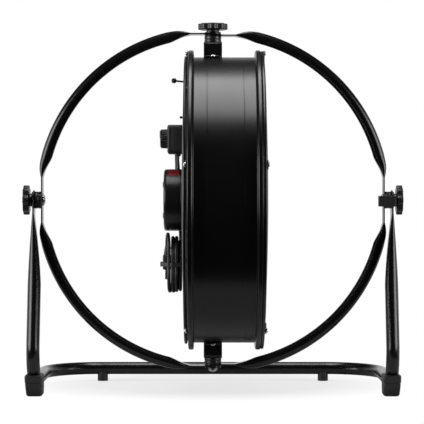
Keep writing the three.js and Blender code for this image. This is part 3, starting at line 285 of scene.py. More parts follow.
def softened(profile, radii, steps):
    # A line of points with each corner rounded: two points at the radius from the corner, joined by
    # a quadratic curve drawn towards it.
    profile = [np.array(p, float) for p in profile]
    out = [profile[0]]
    for i in range(1, len(profile) - 1):
        before, corner, after = profile[i - 1], profile[i], profile[i + 1]
        radius = radii[i] if isinstance(radii, (list, tuple)) else radii
        back, ahead = before - corner, after - corner
        reach = min(radius, 0.45 * np.linalg.norm(back), 0.45 * np.linalg.norm(ahead))
        if reach < 1e-9:
            out.append(corner)
            continue
        start = corner + back / np.linalg.norm(back) * reach
        end = corner + ahead / np.linalg.norm(ahead) * reach
        for t in np.linspace(0, 1, steps + 1):
            out.append((1 - t) ** 2 * start + 2 * t * (1 - t) * corner + t * t * end)
    out.append(profile[-1])
    return np.array(out)


axesOf = {
    "x": ((0, 1, 0), (0, 0, 1), (1, 0, 0)),
    "y": ((0, 0, 1), (1, 0, 0), (0, 1, 0)),
    "z": ((1, 0, 0), (0, 1, 0), (0, 0, 1)),
    "-x": ((0, 0, 1), (0, 1, 0), (-1, 0, 0)),
    "-z": ((0, 1, 0), (1, 0, 0), (0, 0, -1)),
}


def lathe(profile, axis, centre, sides, closed=False, outline=None):
    # A profile of [along, radius] turned about an axis through centre. The outline, where given,
    # gives a factor on the radius for each point of the profile and each angle.
    profile = np.asarray(profile, float) * mm
    angle = np.arange(sides) * tau / sides
    across, up, along = (np.array(a, float) for a in axesOf[axis])
    radius = np.maximum(profile[:, 1], onAxis * mm)[:, None] * np.ones(sides)
    if outline is not None:
        radius = radius * outline(profile, angle)
    rings = radius[..., None] * (np.cos(angle)[:, None] * across + np.sin(angle)[:, None] * up)
    rings = rings + profile[:, 0][:, None, None] * along + np.array(centre) * mm
    return skin(rings, looped=closed)


def softenedRing(corners, radius, steps):
    # A closed line of points with every corner rounded.
    ring = []
    for i, corner in enumerate(corners):
        before, after = corners[i - 1], corners[(i + 1) % len(corners)]
        ring += list(softened([before, corner, after], radius, steps)[1:-1])
    return np.array(ring)


def sleeve(start, end, inner, outer, edge):
    # The closed section of a washer or a bearing ring with its four corners rounded.
    return softenedRing([(start, inner), (start, outer), (end, outer), (end, inner)], edge, 3)


def outwardOf(ring):
    # The outward normal at each point of a closed line.
    along = np.roll(ring, -1, 0) - np.roll(ring, 1, 0)
    out = np.stack([along[:, 1], -along[:, 0]], 1)
    out /= np.linalg.norm(out, axis=1)[:, None]
    x, y = ring.T
    clockwise = (x * np.roll(y, -1) - y * np.roll(x, -1)).sum() < 0
    return -out if clockwise else out


def directionOf(points):
    # The direction of a path at each of its points.
    ahead = np.gradient(points, axis=0)
    return ahead / np.linalg.norm(ahead, axis=1)[:, None]


def transported(points, first):
    # Two directions across a path at each of its points, the first one carried along unturned.
    ahead = directionOf(points)
    across = np.zeros_like(ahead)
    carried = np.array(first, float)
    for i, direction in enumerate(ahead):
        carried = carried - direction * carried.dot(direction)
        carried /= np.linalg.norm(carried)
        across[i] = carried
    return across, np.cross(ahead, across)


def tube(points, radius, sides, first=(1, 0, 0)):
    # A round tube along a path of points.
    across, up = transported(points, first)
    angle = np.arange(sides) * tau / sides
    cosine, sine = np.cos(angle)[None, :, None], np.sin(angle)[None, :, None]
    around = cosine * across[:, None, :] + sine * up[:, None, :]
    return skin(points[:, None, :] + radius * around)


def smoothPath(points, step):
    # The curve that passes through every point, by cubic pieces whose slopes come from the
    # neighbouring points, at an even step.
    points = np.asarray(points, float)
    ends = np.vstack([2 * points[0] - points[1], points, 2 * points[-1] - points[-2]])
    t = np.linspace(0, 1, 12, endpoint=False)[:, None]
    runs = []
    for i in range(1, len(ends) - 2):
        a, b, c, d = ends[i - 1 : i + 3]
        squared, cubed = (2 * a - 5 * b + 4 * c - d) * t**2, (3 * b - a - 3 * c + d) * t**3
        runs.append(0.5 * (2 * b + (c - a) * t + squared + cubed))
    line = np.vstack(runs + [points[-1:]])
    travelled = np.concatenate([[0], np.cumsum(np.linalg.norm(np.diff(line, axis=0), axis=1))])
    stops = np.linspace(0, travelled[-1], max(2, int(travelled[-1] / step) + 1))
    return np.stack([np.interp(stops, travelled, line[:, k]) for k in range(3)], 1)


def plateShape(outline, start, end, bevel, centre, axis="x", steps=3):
    # A closed outline of (across, up) made solid, its edges rounded over by moving each point inward.
    out = outwardOf(outline)
    turn = np.linspace(0, math.pi / 2, steps + 1)
    first, last = bevel if isinstance(bevel, list) else (bevel, bevel)
    levels = [(start + first * (1 - math.cos(a)), first * (1 - math.sin(a))) for a in turn]
    levels += [(end - last * (1 - math.cos(a)), last * (1 - math.sin(a))) for a in turn[::-1]]
    across, up, along = (np.array(a, float) for a in axesOf[axis])
    rings = []
    for height, inset in levels:
        flat = outline - out * inset
        rings.append((flat[:, :1] * across + flat[:, 1:] * up + height * along + np.array(centre)) * mm)
    return skin(rings)


def roundedRectangle(width, height, radius, steps):
    # Four quarter circles, anticlockwise from the right.
    corner = np.repeat([(1, 1), (-1, 1), (-1, -1), (1, -1)], steps + 1, 0)
    turn = np.arange(4)[:, None] + np.linspace(0, 1, steps + 1)
    angle = turn.ravel() * math.pi / 2
    middle = corner * (width / 2 - radius, height / 2 - radius)
    return middle + radius * np.stack([np.cos(angle), np.sin(angle)], 1)


def eased(name, node, bevel, material, segments=3):
    # The CAD node's own shape as a new piece, with its edges eased by a bevel.
    flat, edgeAngle = math.radians(3), math.radians(30)
    mesh = nodes[node].data.copy()
    made = bmesh.new()
    made.from_mesh(mesh)
    bmesh.ops.remove_doubles(made, verts=made.verts, dist=1e-6)
    bmesh.ops.dissolve_limit(made, angle_limit=flat, verts=made.verts, edges=made.edges)
    bmesh.ops.recalc_face_normals(made, faces=made.faces)
    made.to_mesh(mesh)
    made.free()
    mesh.materials.clear()
    mesh.materials.append(material)
    mesh.shade_smooth()
    mesh.set_sharp_from_angle(angle=math.radians(40))
    piece = bpy.data.objects.new(name, mesh)
    bpy.context.scene.collection.objects.link(piece)
    edge = piece.modifiers.new("edge", "BEVEL")
    edge.width = bevel * mm
    edge.segments = segments
    edge.limit_method = "ANGLE"
    edge.angle_limit = edgeAngle
    edge.harden_normals = True
    return piece


# Mains cord: from its relief on the switch box, round the motor, into a tied hank, to the plug.
# The points repeat the CAD route, here with heights from the pivot.

cordSizes = {
    "radius": 3.0, "pitch": 6.2, "outer": 30.4, "straight": 15.0, "pinch": 1.5, "pinchReach": 40.0,
    "firstX": -55.5, "height": -109.15, "stepFrom": 0.16, "stepTo": 0.42, "steps": 44, "lastTurn": 0.56,
}
leadPoints = [
    (-64.15, 55.6, 97), (-64.15, 58.5, 97), (-64.2, 63, 96.5), (-64, 67.5, 95), (-63.8, 74, 90.5),
    (-63.5, 79, 83.5), (-63.3, 81.8, 74), (-63, 82.5, 62), (-62.8, 81.5, 46), (-62.5, 79, 28),
    (-62, 75.5, 10), (-61.4, 70.5, -7), (-60.3, 64, -21), (-59, 56.3, -32.5), (-57.6, 48.5, -41.5),
    (-56.4, 41.5, -48.5), (-55.7, 36, -55.3), (-55.5, 32.2, -61.5), (-55.5, 30.5, -67),
]
tailPoints = [
    (-74.15, -29.9, -77.2), (-74.3, -28.95, -71.2), (-74.7, -26.2, -65.8), (-75.2, -21.9, -61.5),
    (-75.8, -16.45, -58.7), (-76.3, -10.45, -57.75), (-76.9, -4.45, -58.7), (-77.5, 1, -61.5),
    (-77.9, 5.3, -65.8), (-78.2, 8.05, -71.2), (-78.3, 9, -77.2), (-78.3, 9, -77.7),
]


def windings():
    # Turns step inward through the first layer, outward through the second, and stay at the outside
    # through the third and the fourth, which ends halfway up its left run. Where a turn changes its
    # place it follows a quarter circle, one share sideways and the other inward or outward, so that
    # neighbouring turns keep one pitch apart.
    s = cordSizes
    outer, middle, inner = (s["outer"] - k * s["pitch"] for k in range(3))
    plan = [
        (outer, 0), (middle, 0), (inner, 0), (inner, 1), (middle, 1), (outer, 1), (outer, 2), (outer, 3),
    ]
    points = []
    for turn in range(len(plan) - 1):
        (fromRadius, fromLayer), (toRadius, toLayer) = plan[turn], plan[turn + 1]
        stop = 1.0 if turn < len(plan) - 2 else s["lastTurn"]
        for f in np.arange(0, stop, 1 / s["steps"]):
            share = min(max((f - s["stepFrom"]) / (s["stepTo"] - s["stepFrom"]), 0), 1)
            quarter = share * math.pi / 2
            radial = math.sin(quarter) if toRadius > fromRadius else 1 - math.cos(quarter)
            radius = fromRadius + (toRadius - fromRadius) * radial
            layer = fromLayer + (toLayer - fromLayer) * math.sin(quarter)
            points.append((layer, *hankPlace(f, radius)))
    wound = [(s["firstX"] - layer * s["pitch"], y, z + s["height"]) for layer, y, z in points]
    into = [(s["firstX"], outer - drawnIn(z - s["height"]), z) for z in (-72.5, -78, -83.5, -89)]
    lastX = s["firstX"] - 3 * s["pitch"]
    out = [(lastX, drawnIn(z - s["height"]) - outer, z) for z in (-107, -101, -95, -89, -83)]
    return into + wound + out


def drawnIn(z):
    # How far the tie draws a run in, at a height from the hank's middle.
    s = cordSizes
    return s["pinch"] * math.cos(math.pi / 2 * min(abs(z) / s["pinchReach"], 1)) ** 2


def hankPlace(f, radius):
    # A share f of one turn, from the top of the right run, down, round and up the left run. The
    # drawing in is a squared cosine of the height.
    s = cordSizes
    run, arc = 2 * s["straight"], math.pi * radius
    whole = 2 * (run + arc)
    travelled = f * whole
    if travelled < run:
        y, z = radius, s["straight"] - travelled
    elif travelled < run + arc:
        angle = (travelled - run) / radius
        y, z = radius * math.cos(angle), -s["straight"] - radius * math.sin(angle)
    elif travelled < 2 * run + arc:
        y, z = -radius, -s["straight"] + travelled - run - arc
    else:
        angle = (travelled - 2 * run - arc) / radius
        y, z = -radius * math.cos(angle), s["straight"] + radius * math.sin(angle)
    return y - math.copysign(min(drawnIn(z), abs(y)), y), z


cordPath = smoothPath(np.array(leadPoints + windings() + tailPoints) * mm + (0, 0, pivot), 2.2 * mm)


def makeCord():
    # A round section carried along the path.
    radius = cordSizes["radius"] * mm
    shape = tube(cordPath, radius, 14)
    cord = add("mains_cord", shape, cordRubber, "drum", "cord_lead", "cord_hank", "cord_tail")
    makePlug()
    makeTie()


plugSizes = {
    "face": -71.3, "side": 9, "top": -93, "width": 24, "depth": 14, "length": 26, "neck": 15, "ribs": 6,
    "prongLength": 18, "prongWidth": 6.3, "prongThick": 1.5, "prongAside": 6.35, "prongBelow": 7,
}


def makePlug():
    # A moulded body with rounded edges, a ribbed neck that narrows upward, and two flat prongs.
    s = plugSizes
    top, aside = s["top"], s["side"]
    x = s["face"] - s["depth"] / 2
    # The body's outline: a circle pushed out towards its corners by a power, and narrower below
    angle = np.arange(48) * tau / 48
    cosine, sine = np.cos(angle), np.sin(angle)
    across = np.copysign(np.abs(cosine) ** 0.45, cosine) * s["width"] / 2 * (0.95 + 0.05 * sine)
    outline = np.stack([across, np.copysign(np.abs(sine) ** 0.45, sine) * s["length"] / 2], 1)
    middle = (x, aside, top - s["length"] / 2 + pivotHeight)
    body = plateShape(outline, -s["depth"] / 2, s["depth"] / 2, 2.6, middle, steps=5)
    neckTop = top + s["neck"]
    neck = [(top - 2, onAxis), (top - 2, 6.4)]
    for i in range(s["ribs"]):
        low, wide = top + 0.5 + i * 2.3, 5.7 - 0.34 * i
        neck += [(low, wide), (low + 1.25, wide), (low + 1.4, wide - 0.75), (low + 2.1, wide - 0.75)]
    neck += [(neckTop, 3.8), (neckTop, 3.05), (neckTop - 1, 3.02)]
    neckShape = lathe(neck, "z", (x, aside, pivotHeight), 32)
    plug = add("plug_body", merged([body, neckShape]), plugRubber, "drum", "plug")
    outline = roundedRectangle(s["prongLength"], s["prongWidth"], 1.2, 4)
    half, height = s["prongThick"] / 2, top - s["length"] - s["prongBelow"] + pivotHeight
    prongs = []
    for side in (-1, 1):
        at = (x, aside + side * s["prongAside"], height)
        prongs.append(plateShape(outline, -half, half, 0.3, at, "y"))
    add("plug_prongs", merged(prongs), prongMetal, "drum")
    return plug


tieSizes = {
    "half": 32.6, "front": -51.9, "shoulder": -71, "besidePlug": 12.2, "behindPlug": 0.9, "round": 3.2,
    "halfWidth": 3.2, "thick": 1.1,
}


def makeTie():
    # A flat strap round the drawn-in middle of the hank and the plug: a smooth closed band with a
    # small square catch on its outer side.
    s = tieSizes
    height = cordSizes["height"] + pivotHeight
    back = plugSizes["face"] - plugSizes["depth"] - s["behindPlug"]
    left, right = plugSizes["side"] + s["besidePlug"], plugSizes["side"] - s["besidePlug"]
    half, shoulder = s["half"], s["shoulder"]
    corners = [
        (s["front"], half), (shoulder, half), (back, left), (back, right), (shoulder, -half),
        (s["front"], -half),
    ]
    ring = softenedRing(corners, s["round"], 6)
    out = outwardOf(ring)
    wide, thick = s["halfWidth"], s["thick"]
    section = [(0, -wide), (0, wide), (0.5, wide + 0.3), (thick, wide), (thick, -wide), (0.5, -wide - 0.3)]
    rings = [np.column_stack([ring + out * u, np.full(len(ring), height + v)]) for u, v in section]
    band = skin(np.stack(rings, 1) * mm, looped=True)
    outline = roundedRectangle(9, 8.4, 1.2, 4)
    catch = plateShape(outline, back - 3.4, back + 0.2, 0.6, (0, plugSizes["side"], height))
    return add("cord_tie_band", merged([band, catch]), boxPlastic, "drum", "cord_tie")


makeCord()
print("cord made")


# Pressed tubes: a section is two arcs joined by flats, whose half width grows by pi/2 of what the
# half thickness loses, because pressing keeps the perimeter.

def fullHalfWidth(radius, half):
    # Half the width of a tube pressed to this half thickness.
    return half + math.pi / 2 * (radius - half)


def pressedTube(points, thickness, limits, radius, thick):
    # Points of the middle line, the half thickness at each, a largest half width at each, and the
    # direction of the thickness at each.
    across = np.cross(directionOf(points), thick)
    across /= np.linalg.norm(across, axis=1)[:, None]
    arc = np.linspace(-math.pi / 2, math.pi / 2, 20)
    cosine = np.concatenate([np.cos(arc), -np.cos(arc)])
    sine = np.concatenate([np.sin(arc), -np.sin(arc)])
    flat = np.maximum(np.minimum(fullHalfWidth(radius, thickness), limits) - thickness, 0)
    along = thickness[:, None] * cosine + flat[:, None] * np.sign(cosine)
    up = thickness[:, None] * sine
    sideways = along[..., None] * across[:, None, :]
    return points[:, None, :] + sideways + up[..., None] * thick[:, None, :]


def roundingOff(t):
    # How far a pressed tube is round again, t of the way from its flat end.
    return (t + np.sin(math.pi / 2 * t)) / 2


def smoothStep(t):
    # From 0 to 1 with a level start and end.
    return t * t * (3 - 2 * t)


# Where the sections stand along the half circle that ends a flat strap
endTurn = np.radians([8, 16, 25, 35, 46, 58, 72, 90])


standSizes = {
    "half": 300.5, "shift": 3.5, "radius": 11.2, "pressed": 2.8, "floor": 23.0, "toe": 73, "toeBend": 55,
    "heel": 235, "heelBend": 97, "flat": 26, "fade": 120,
}


def bendPoints(before, corner, after, radius, steps):
    # A circular bend that touches both lines at the corner.
    into = (corner - before) / np.linalg.norm(corner - before)
    out = (after - corner) / np.linalg.norm(after - corner)
    turn = math.acos(into.dot(out))
    inward = out - into * out.dot(into)
    inward /= np.linalg.norm(inward)
    middle = corner - into * radius * math.tan(turn / 2) + inward * radius
    angle = np.linspace(0, turn, steps)[:, None]
    return middle - inward * radius * np.cos(angle) + into * radius * np.sin(angle)


def makeStand():
    # One side, from its flat end down the front leg, round the toe and along the floor to the middle
    # of the back bar, and then its mirror image.
    s = standSizes
    radius, half, side = s["radius"], s["pressed"] / 2, np.array([-1.0, 0, 0])
    top = np.array([-s["half"], 0, pivotHeight])
    toe = np.array([-s["half"], -s["toe"], s["floor"]])
    heel = np.array([-s["half"], s["heel"], s["floor"]])
    down = (toe - top) / np.linalg.norm(toe - top)
    widest = fullHalfWidth(radius, half)
    end = top - down * widest * np.cos(endTurn)[:, None] + side * s["shift"]
    t = np.linspace(0, 1, 26)
    full = roundingOff(t)
    along, shift = (s["flat"] + t * s["fade"])[:, None], s["shift"] * (1 - full)[:, None]
    fading = top + down * along + side * shift
    toeBend = bendPoints(top, toe, heel, s["toeBend"], 28)
    heelBend = bendPoints(toe, heel, heel * (-1, 1, 1), s["heelBend"], 36)
    points = np.concatenate([end, fading, toeBend, heelBend])
    thickness, limits = np.full(len(points), radius), np.full(len(points), noLimit)
    first, second = len(end), len(end) + len(fading)
    thickness[:first] = half
    thickness[first:second] = half + (radius - half) * full
    limits[:first] = np.maximum(widest * np.sin(endTurn), half)
    rings = pressedTube(points, thickness, limits, radius, transported(points, side)[0])
    shape = skin(np.concatenate([rings, rings[::-1] * (-1, 1, 1)]) * mm)
    add("stand_tube", shape, tubeEnamel, "stand", "stand_frame", crease=50)


ringSizes = {
    "radius": 9.5, "pressed": 2.4, "bend": 284, "offset": 8, "flat": 38, "fade": 38, "inset": 2,
    "endInset": 3.5, "lap": 1.35,
}


def ringStations(endHeight):
    # One half's upper quarter: x, z, half thickness and largest half width, from its end at the top
    # down a circle to the middle of its side.
    s = ringSizes
    half, radius, bend, offset = s["pressed"] / 2, s["radius"], s["bend"], s["offset"]
    widest = fullHalfWidth(radius, half)
    limits = np.maximum(widest * np.sin(endTurn), half)
    out = [np.stack([widest * np.cos(endTurn), endHeight + 0 * limits, half + 0 * limits, limits])]
    t = np.linspace(0, 1, 15)
    fading, thickness = s["flat"] + t * s["fade"], half + (radius - half) * roundingOff(t)
    unlimited = np.full(len(t), noLimit)
    arc = np.sqrt(bend**2 - (fading - offset) ** 2)
    height = endHeight + (arc - endHeight) * smoothStep(t)
    out.append(np.stack([-fading, height, thickness, unlimited]))
    last = fading[-1]
    angle = np.linspace(math.asin((last - offset) / bend), math.acos(last / bend), 42)[1:-1]
    full, free = np.full(len(angle), radius), np.full(len(angle), noLimit)
    out.append(np.stack([-(offset + bend * np.sin(angle)), bend * np.cos(angle), full, free]))
    strip = offset + bend - s["inset"]
    side = offset + np.sqrt(bend**2 - fading**2)
    aside = strip + (side - strip) * smoothStep(t)
    out.append(np.stack([-aside, fading, thickness, unlimited])[:, ::-1])
    return np.concatenate(out, 1).T


def makeRingHalf(name, node, endHeight, mirror):
    # The upper quarter and its mirror image below it.
    upper = ringStations(endHeight)
    stations = np.concatenate([upper, upper[::-1] * (1, -1, 1, 1)])
    points = np.stack([stations[:, 0], np.zeros(len(stations)), stations[:, 1]], 1)
    thick = np.cross(directionOf(points), (0, 1, 0))
    rings = pressedTube(points, stations[:, 2], stations[:, 3], ringSizes["radius"], thick)
    rings = (rings * (mirror, 1, 1) + pivotAt) * mm
    add(name, skin(rings), tubeEnamel, "ring", node, crease=50)


def lobes(count, depth, radius):
    # A star outline: each hollow between two lobes is a raised cosine to the power 1.5. A point's
    # share of the outline grows with its distance from the neck.
    def outline(profile, angle):
        hollow = (0.5 - 0.5 * np.cos(count * angle)) ** 1.5
        share = np.clip((profile[:, 1] / mm - 13.5) / (radius - 15), 0, 1) ** 0.7
        return 1 - share[:, None] * hollow * depth / radius
    return outline


knobSizes = {"radius": 25, "lobes": 8, "hollow": 3.2}


def makeKnob(name, node, axis, seat):
    # Neck, flared underside, a disc with rounded lobes, and a shallow dish with a domed middle.
    s = knobSizes
    r = s["radius"]
    profile = [
        (0, onAxis), (0, 11), (3.2, 11), (3.8, 13.5), (3.8, r - 1.2), (4.6, r), (13.3, r), (14.2, r - 1.1),
        (14.2, 19.6), (13.3, 18.6), (13.2, 15), (14, 12.5), (14.5, 9), (14.8, 4), (14.8, onAxis),
    ]
    soft = softened(profile, [0, 0.5, 0.6, 1, 0.8, 0.8, 0.9, 0.9, 0.5, 0.5, 0.8, 1.2, 1.5, 2, 0], 3)
    shape = lathe(soft, axis, seat, 192, outline=lobes(s["lobes"], s["hollow"], r))
    add(name, shape, knobPlastic, node, node, crease=50)


washerSizes = {"bore": 4.3, "radius": 14, "thick": 1.6, "edge": 0.35}


def makeWasher(name, node, body, axis, start):
    # A flat ring with rounded edges.
    s = washerSizes
    section = sleeve(start, start + s["thick"], s["bore"], s["radius"], s["edge"])
    add(name, lathe(section, axis, pivotAt, 64, closed=True), tubeEnamel, body, node)


spacerSizes = {"bore": 4.3, "radius": 14.5, "groove": 0.5}


def makeSpacer(name, node, axis, start, end):
    # A moulded round spacer: a shallow groove round its middle and rounded rims.
    s = spacerSizes
    middle = (start + end) / 2
    bore, wide, deep = s["bore"], s["radius"], s["radius"] - s["groove"]
    profile = [
        (start, bore), (start, wide), (middle - 1.2, wide), (middle - 0.7, deep), (middle + 0.7, deep),
        (middle + 1.2, wide), (end, wide), (end, bore),
    ]
    soft = softened(profile, [0, 0.8, 0.3, 0.3, 0.3, 0.3, 0.8, 0], 3)
    add(name, lathe(soft, axis, pivotAt, 72, closed=True), spacerPlastic, "ring", node)


boltSizes = {"head": 4.8, "headRadius": 10, "shank": 4}


def boltShape(start, tip, axis):
    # A carriage head: a low dome on a square-edged rim, with a plain shank under it.
    s = boltSizes
    rim, under, wide, shank = start + 4.5, start + s["head"], s["headRadius"], s["shank"]
    profile = [
        (start, onAxis), (start + 0.15, 2.5), (start + 0.9, 6), (start + 2.2, 8.7),
        (start + 3.6, wide - 0.2), (rim, wide), (under, wide - 0.4), (under, shank),
        (tip - 0.6, shank), (tip, shank - 0.6), (tip, onAxis),
    ]
    return lathe(softened(profile, 0.6, 4), axis, pivotAt, 48)


# Distances from the pivot's middle, outward along X
sidePivot = {
    "ringInner": 288.8, "ringOuter": 291.2, "standInner": 302.6, "standOuter": 305.4, "tip": 319.1,
}


def makeSidePivot(name, axis, side):
    # From the drum outward: the bolt's head, the ring, a spacer, the stand, a washer and the knob.
    s = sidePivot
    bolt = boltShape(s["ringInner"] - seatGap - boltSizes["head"], s["tip"], axis)
    add(name + "_side_bolt", bolt, zincSteel, "ring", "side_bolt_" + name)
    near, far = s["ringOuter"] + seatGap, s["standInner"] - seatGap
    makeSpacer(name + "_side_spacer", "side_spacer_" + name, axis, near, far)
    washer = s["standOuter"] + seatGap
    makeWasher(name + "_side_washer", "side_washer_" + name, "ring", axis, washer)
    seat = washer + washerSizes["thick"] + seatGap
    makeKnob(name + "_knob", "knob_" + name, axis, (side * seat, 0, pivotHeight))


def makeShoe(name, node, side):
    # A boot moulded round the bend: rounded oblongs one above another, each drawn in by its own
    # inset. They lean out to the front and to the outer side, with a crease at the tube's middle.
    low, high = (np.array(corner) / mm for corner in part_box(node))
    front, back, top = low[1], high[1], high[2]
    crease = standSizes["floor"]
    # Each level's height and its inset
    levels = [(0, 3.4), (0.4, 2.2), (1.4, 1.0), (3, 0.3), (5, 0.1), (12, 0), (crease - 1.2, 0)]
    levels += [(crease - 0.4, 0.3), (crease, 1.1), (crease + 0.4, 0.2), (crease + 1.2, -0.1)]
    levels += [(top - 7, -0.1), (top - 2, 0.1), (top - 0.7, 0.6), (top, 1.8)]
    rings = []
    for height, inset in levels:
        lean = 1.5 * (1 - height / top)
        left = low[0] + inset + (lean if side < 0 else lean * 0.4)
        right = high[0] - inset - (lean if side > 0 else lean * 0.4)
        near = front + np.interp(height, [0, 0.72 * top, top], [18, 2.2, 0]) + inset
        section = roundedRectangle(right - left, back - inset - near, 3.4, 5)
        section += ((left + right) / 2, (near + back - inset) / 2)
        rings.append(np.column_stack([section, np.full(len(section), height)]) * mm)
    add(name, skin(rings), shoeRubber, "stand", node, crease=50)


padSizes = {"radius": 9.4, "height": 17.4, "aside": 201}


def makePad(name, node, side):
    # A round rubber foot. Its top is sunk in the bar, so that no gap shows under the bar's round side.
    s = padSizes
    r, top = s["radius"], s["height"]
    profile = [
        (0, onAxis), (0, r - 0.6), (0.5, r - 0.1), (1.2, r), (12, r), (15.5, r - 0.2), (top, r - 0.8),
        (top, onAxis),
    ]
    shape = lathe(softened(profile, 0.5, 3), "z", (side * s["aside"], standSizes["heel"], 0), 40)
    add(name, shape, shoeRubber, "stand", node)


makeStand()
lapHeight = ringSizes["bend"] - ringSizes["endInset"]
makeRingHalf("left_ring_tube", "ring_half_left", lapHeight + ringSizes["lap"], 1)
makeRingHalf("right_ring_tube", "ring_half_right", lapHeight - ringSizes["lap"], -1)
makeSidePivot("left", "-x", -1)
makeSidePivot("right", "x", 1)
makeShoe("left_shoe", "foot_left", -1)
makeShoe("right_shoe", "foot_right", 1)
makePad("left_pad", "bar_pad_left", -1)
makePad("right_pad", "bar_pad_right", 1)
placed(eased("stop_block_body", "stop_block", 1.0, boxPlastic), "ring", "stop_block")
print("stand and ring made")


# Drum: a rolled sheet with a raised bead at each end

drumSizes = {
    "radius": 241.8, "sheet": 1.5, "top": 253.6, "opening": 243.0, "rear": -41.2, "front": 85.0,
    "groove": 0.2, "grooves": (-9.4, 51.0), "seamAngle": 68, "seamHalf": 9.0, "seamRise": 0.9,
}


def makeDrumShell():
    # Outside, from the rear: a rounded bead, a wall with two shallow rolled grooves, and a bead with
    # a lower lip before it. Inside: a plainer line under the beads, and the wall one sheet in.
    s = drumSizes
    rear, front, foot, top, opening = s["rear"], s["front"], s["radius"], s["top"], s["opening"]
    # Each point's place along the drum, its radius, and how much it is rounded
    line = [(rear, opening, 0), (rear, top, 2.8), (rear + 8.8, top, 3.2), (rear + 9.6, foot, 1.4)]
    for x in s["grooves"]:
        line += [(x - 1.4, foot, 0.8), (x, foot - s["groove"], 1.0), (x + 1.4, foot, 0.8)]
    line += [(front - 14.6, foot, 1.4), (front - 13.8, top, 3.2), (front - 5.9, top, 3.2)]
    line += [(front - 5.4, top - 3.2, 0.6), (front - 4.7, top - 1.2, 1.0)]
    line += [(front, top - 1.2, 2.0), (front, opening, 0)]
    outside = softened([(x, r) for x, r, _ in line], [around for _, _, around in line], 7)
    low, wall = top - 5, foot - s["sheet"]
    near, far = rear + s["sheet"], front - s["sheet"]
    inner = [
        (near, opening), (near, low), (rear + 7, low), (rear + 8, wall), (front - 13, wall),
        (front - 12, low), (far, low), (far, opening),
    ]
    inside = softened(inner, [0, 1.5, 1.5, 1.5, 1.5, 1.5, 1.5, 0], 4)
    shape = lathe(np.concatenate([outside, inside[::-1]]), "x", pivotAt, 288, closed=True)
    add("drum_wall", merged([shape, drumSeam()]), shellEnamel, "drum", "drum_shell", crease=40)


def aboutPivot(shape, degrees):
    # A shape turned about the drum's axis, from the camera's side towards the top.
    points, faces = shape
    angle = math.radians(-degrees)
    cosine, sine = math.cos(angle), math.sin(angle)
    y, z = points[:, 1], points[:, 2] - pivot
    return np.stack([points[:, 0], y * cosine - z * sine, y * sine + z * cosine + pivot], 1), faces


def roundPivot(x, radius, angle):
    # Points round the drum's axis, with their angle from the camera's side towards the top.
    y, z = -radius * np.cos(angle), radius * np.sin(angle) + pivotHeight
    return np.stack([np.broadcast_to(x, np.shape(y)), y, z], -1)


def drumSeam():
    # The sheet's riveted lap: a thin curved strip along the drum, with a row of flat rivet heads.
    s = drumSizes
    radius, half, rise = s["radius"], s["seamHalf"], s["seamRise"]
    turn = np.linspace(-half, half, 9) / radius
    top = radius + rise * np.minimum(1, (half - np.abs(turn * radius)) / 1.2 + 0.35)
    low = np.full(len(turn), radius - 0.6)
    section, angle = np.concatenate([top, low]), np.concatenate([turn, turn[::-1]])
    along = np.linspace(s["rear"] + 12, s["front"] - 15.5, 20)
    shapes = [skin([roundPivot(x, section, angle) * mm for x in along])]
    for x in np.linspace(s["rear"] + 20, s["front"] - 24, 6):
        shapes.append(rivetShape((x, -radius - rise + 0.2, pivotHeight), (0, -1, 0), 2.9, 1.0))
    return aboutPivot(merged(shapes), 180 + s["seamAngle"])


def seatedRings(at, direction, rise, radius):
    # Rings about a line through at: how far along it and how far from it, for each ring and angle.
    direction = np.array(direction, float) / np.linalg.norm(direction)
    across = np.cross(direction, (0.3, 0.9, 0.2))
    across /= np.linalg.norm(across)
    up = np.cross(direction, across)
    sides = radius.shape[1]
    angle = np.arange(sides) * tau / sides
    around = np.cos(angle)[:, None] * across + np.sin(angle)[:, None] * up
    return (np.array(at) + rise[..., None] * direction + radius[..., None] * around) * mm


def rivetShape(at, direction, radius, height):
    # A low dome: its height falls with the cube of the share of the radius.
    even = np.ones(20)
    share = np.array([1, 1, 0.93, 0.8, 0.6, 0.35, 0.001])
    rise = np.concatenate([[-0.3], height * (1 - 0.75 * share[1:] ** 3)])
    return skin(seatedRings(at, direction, rise[:, None] * even, share[:, None] * radius * even))


def screwShape(at, direction, radius, height, washer=0.0):
    # A pan head with a cross recess, which deepens towards the cross's two lines and ends at 0.62 of
    # the radius. The washer under it is left out at a radius of 0.
    sides, circles = 40, 12
    even = np.ones(sides)
    angle = np.arange(sides) * tau / sides
    share = np.concatenate([[1, 1], np.linspace(0.96, 0.001, circles)])[:, None] * even
    dome = height * (1 - 0.5 * np.linspace(0.96, 0, circles) ** 2.4)
    rise = np.concatenate([[-0.2, 0.42 * height], dome])[:, None] * even
    near = np.minimum(np.abs(share * np.cos(angle)), np.abs(share * np.sin(angle)))
    cross = np.clip((0.2 - near) / 0.09, 0, 1) * np.clip((0.62 - share) / 0.12, 0, 1)
    head = skin(seatedRings(at, direction, rise - cross * 0.42 * height, share * radius))
    if not washer:
        return head
    flat = np.array([-0.2, 0.7, 0.85, 0.85])[:, None] * even
    rim = np.array([washer, washer, washer - 0.3, radius * 0.7])[:, None] * even
    return merged([head, skin(seatedRings(at, direction, flat, rim))])


# Strap brackets: a flat strap carried along its bent middle line

bracketSizes = {
    "seat": 242.1, "thick": 2.5, "width": 31, "half": 22, "foot": 22, "top": 267.2, "bend": 4.2,
    "footRound": 6, "screwSeat": 244.6, "screwAside": 33,
}


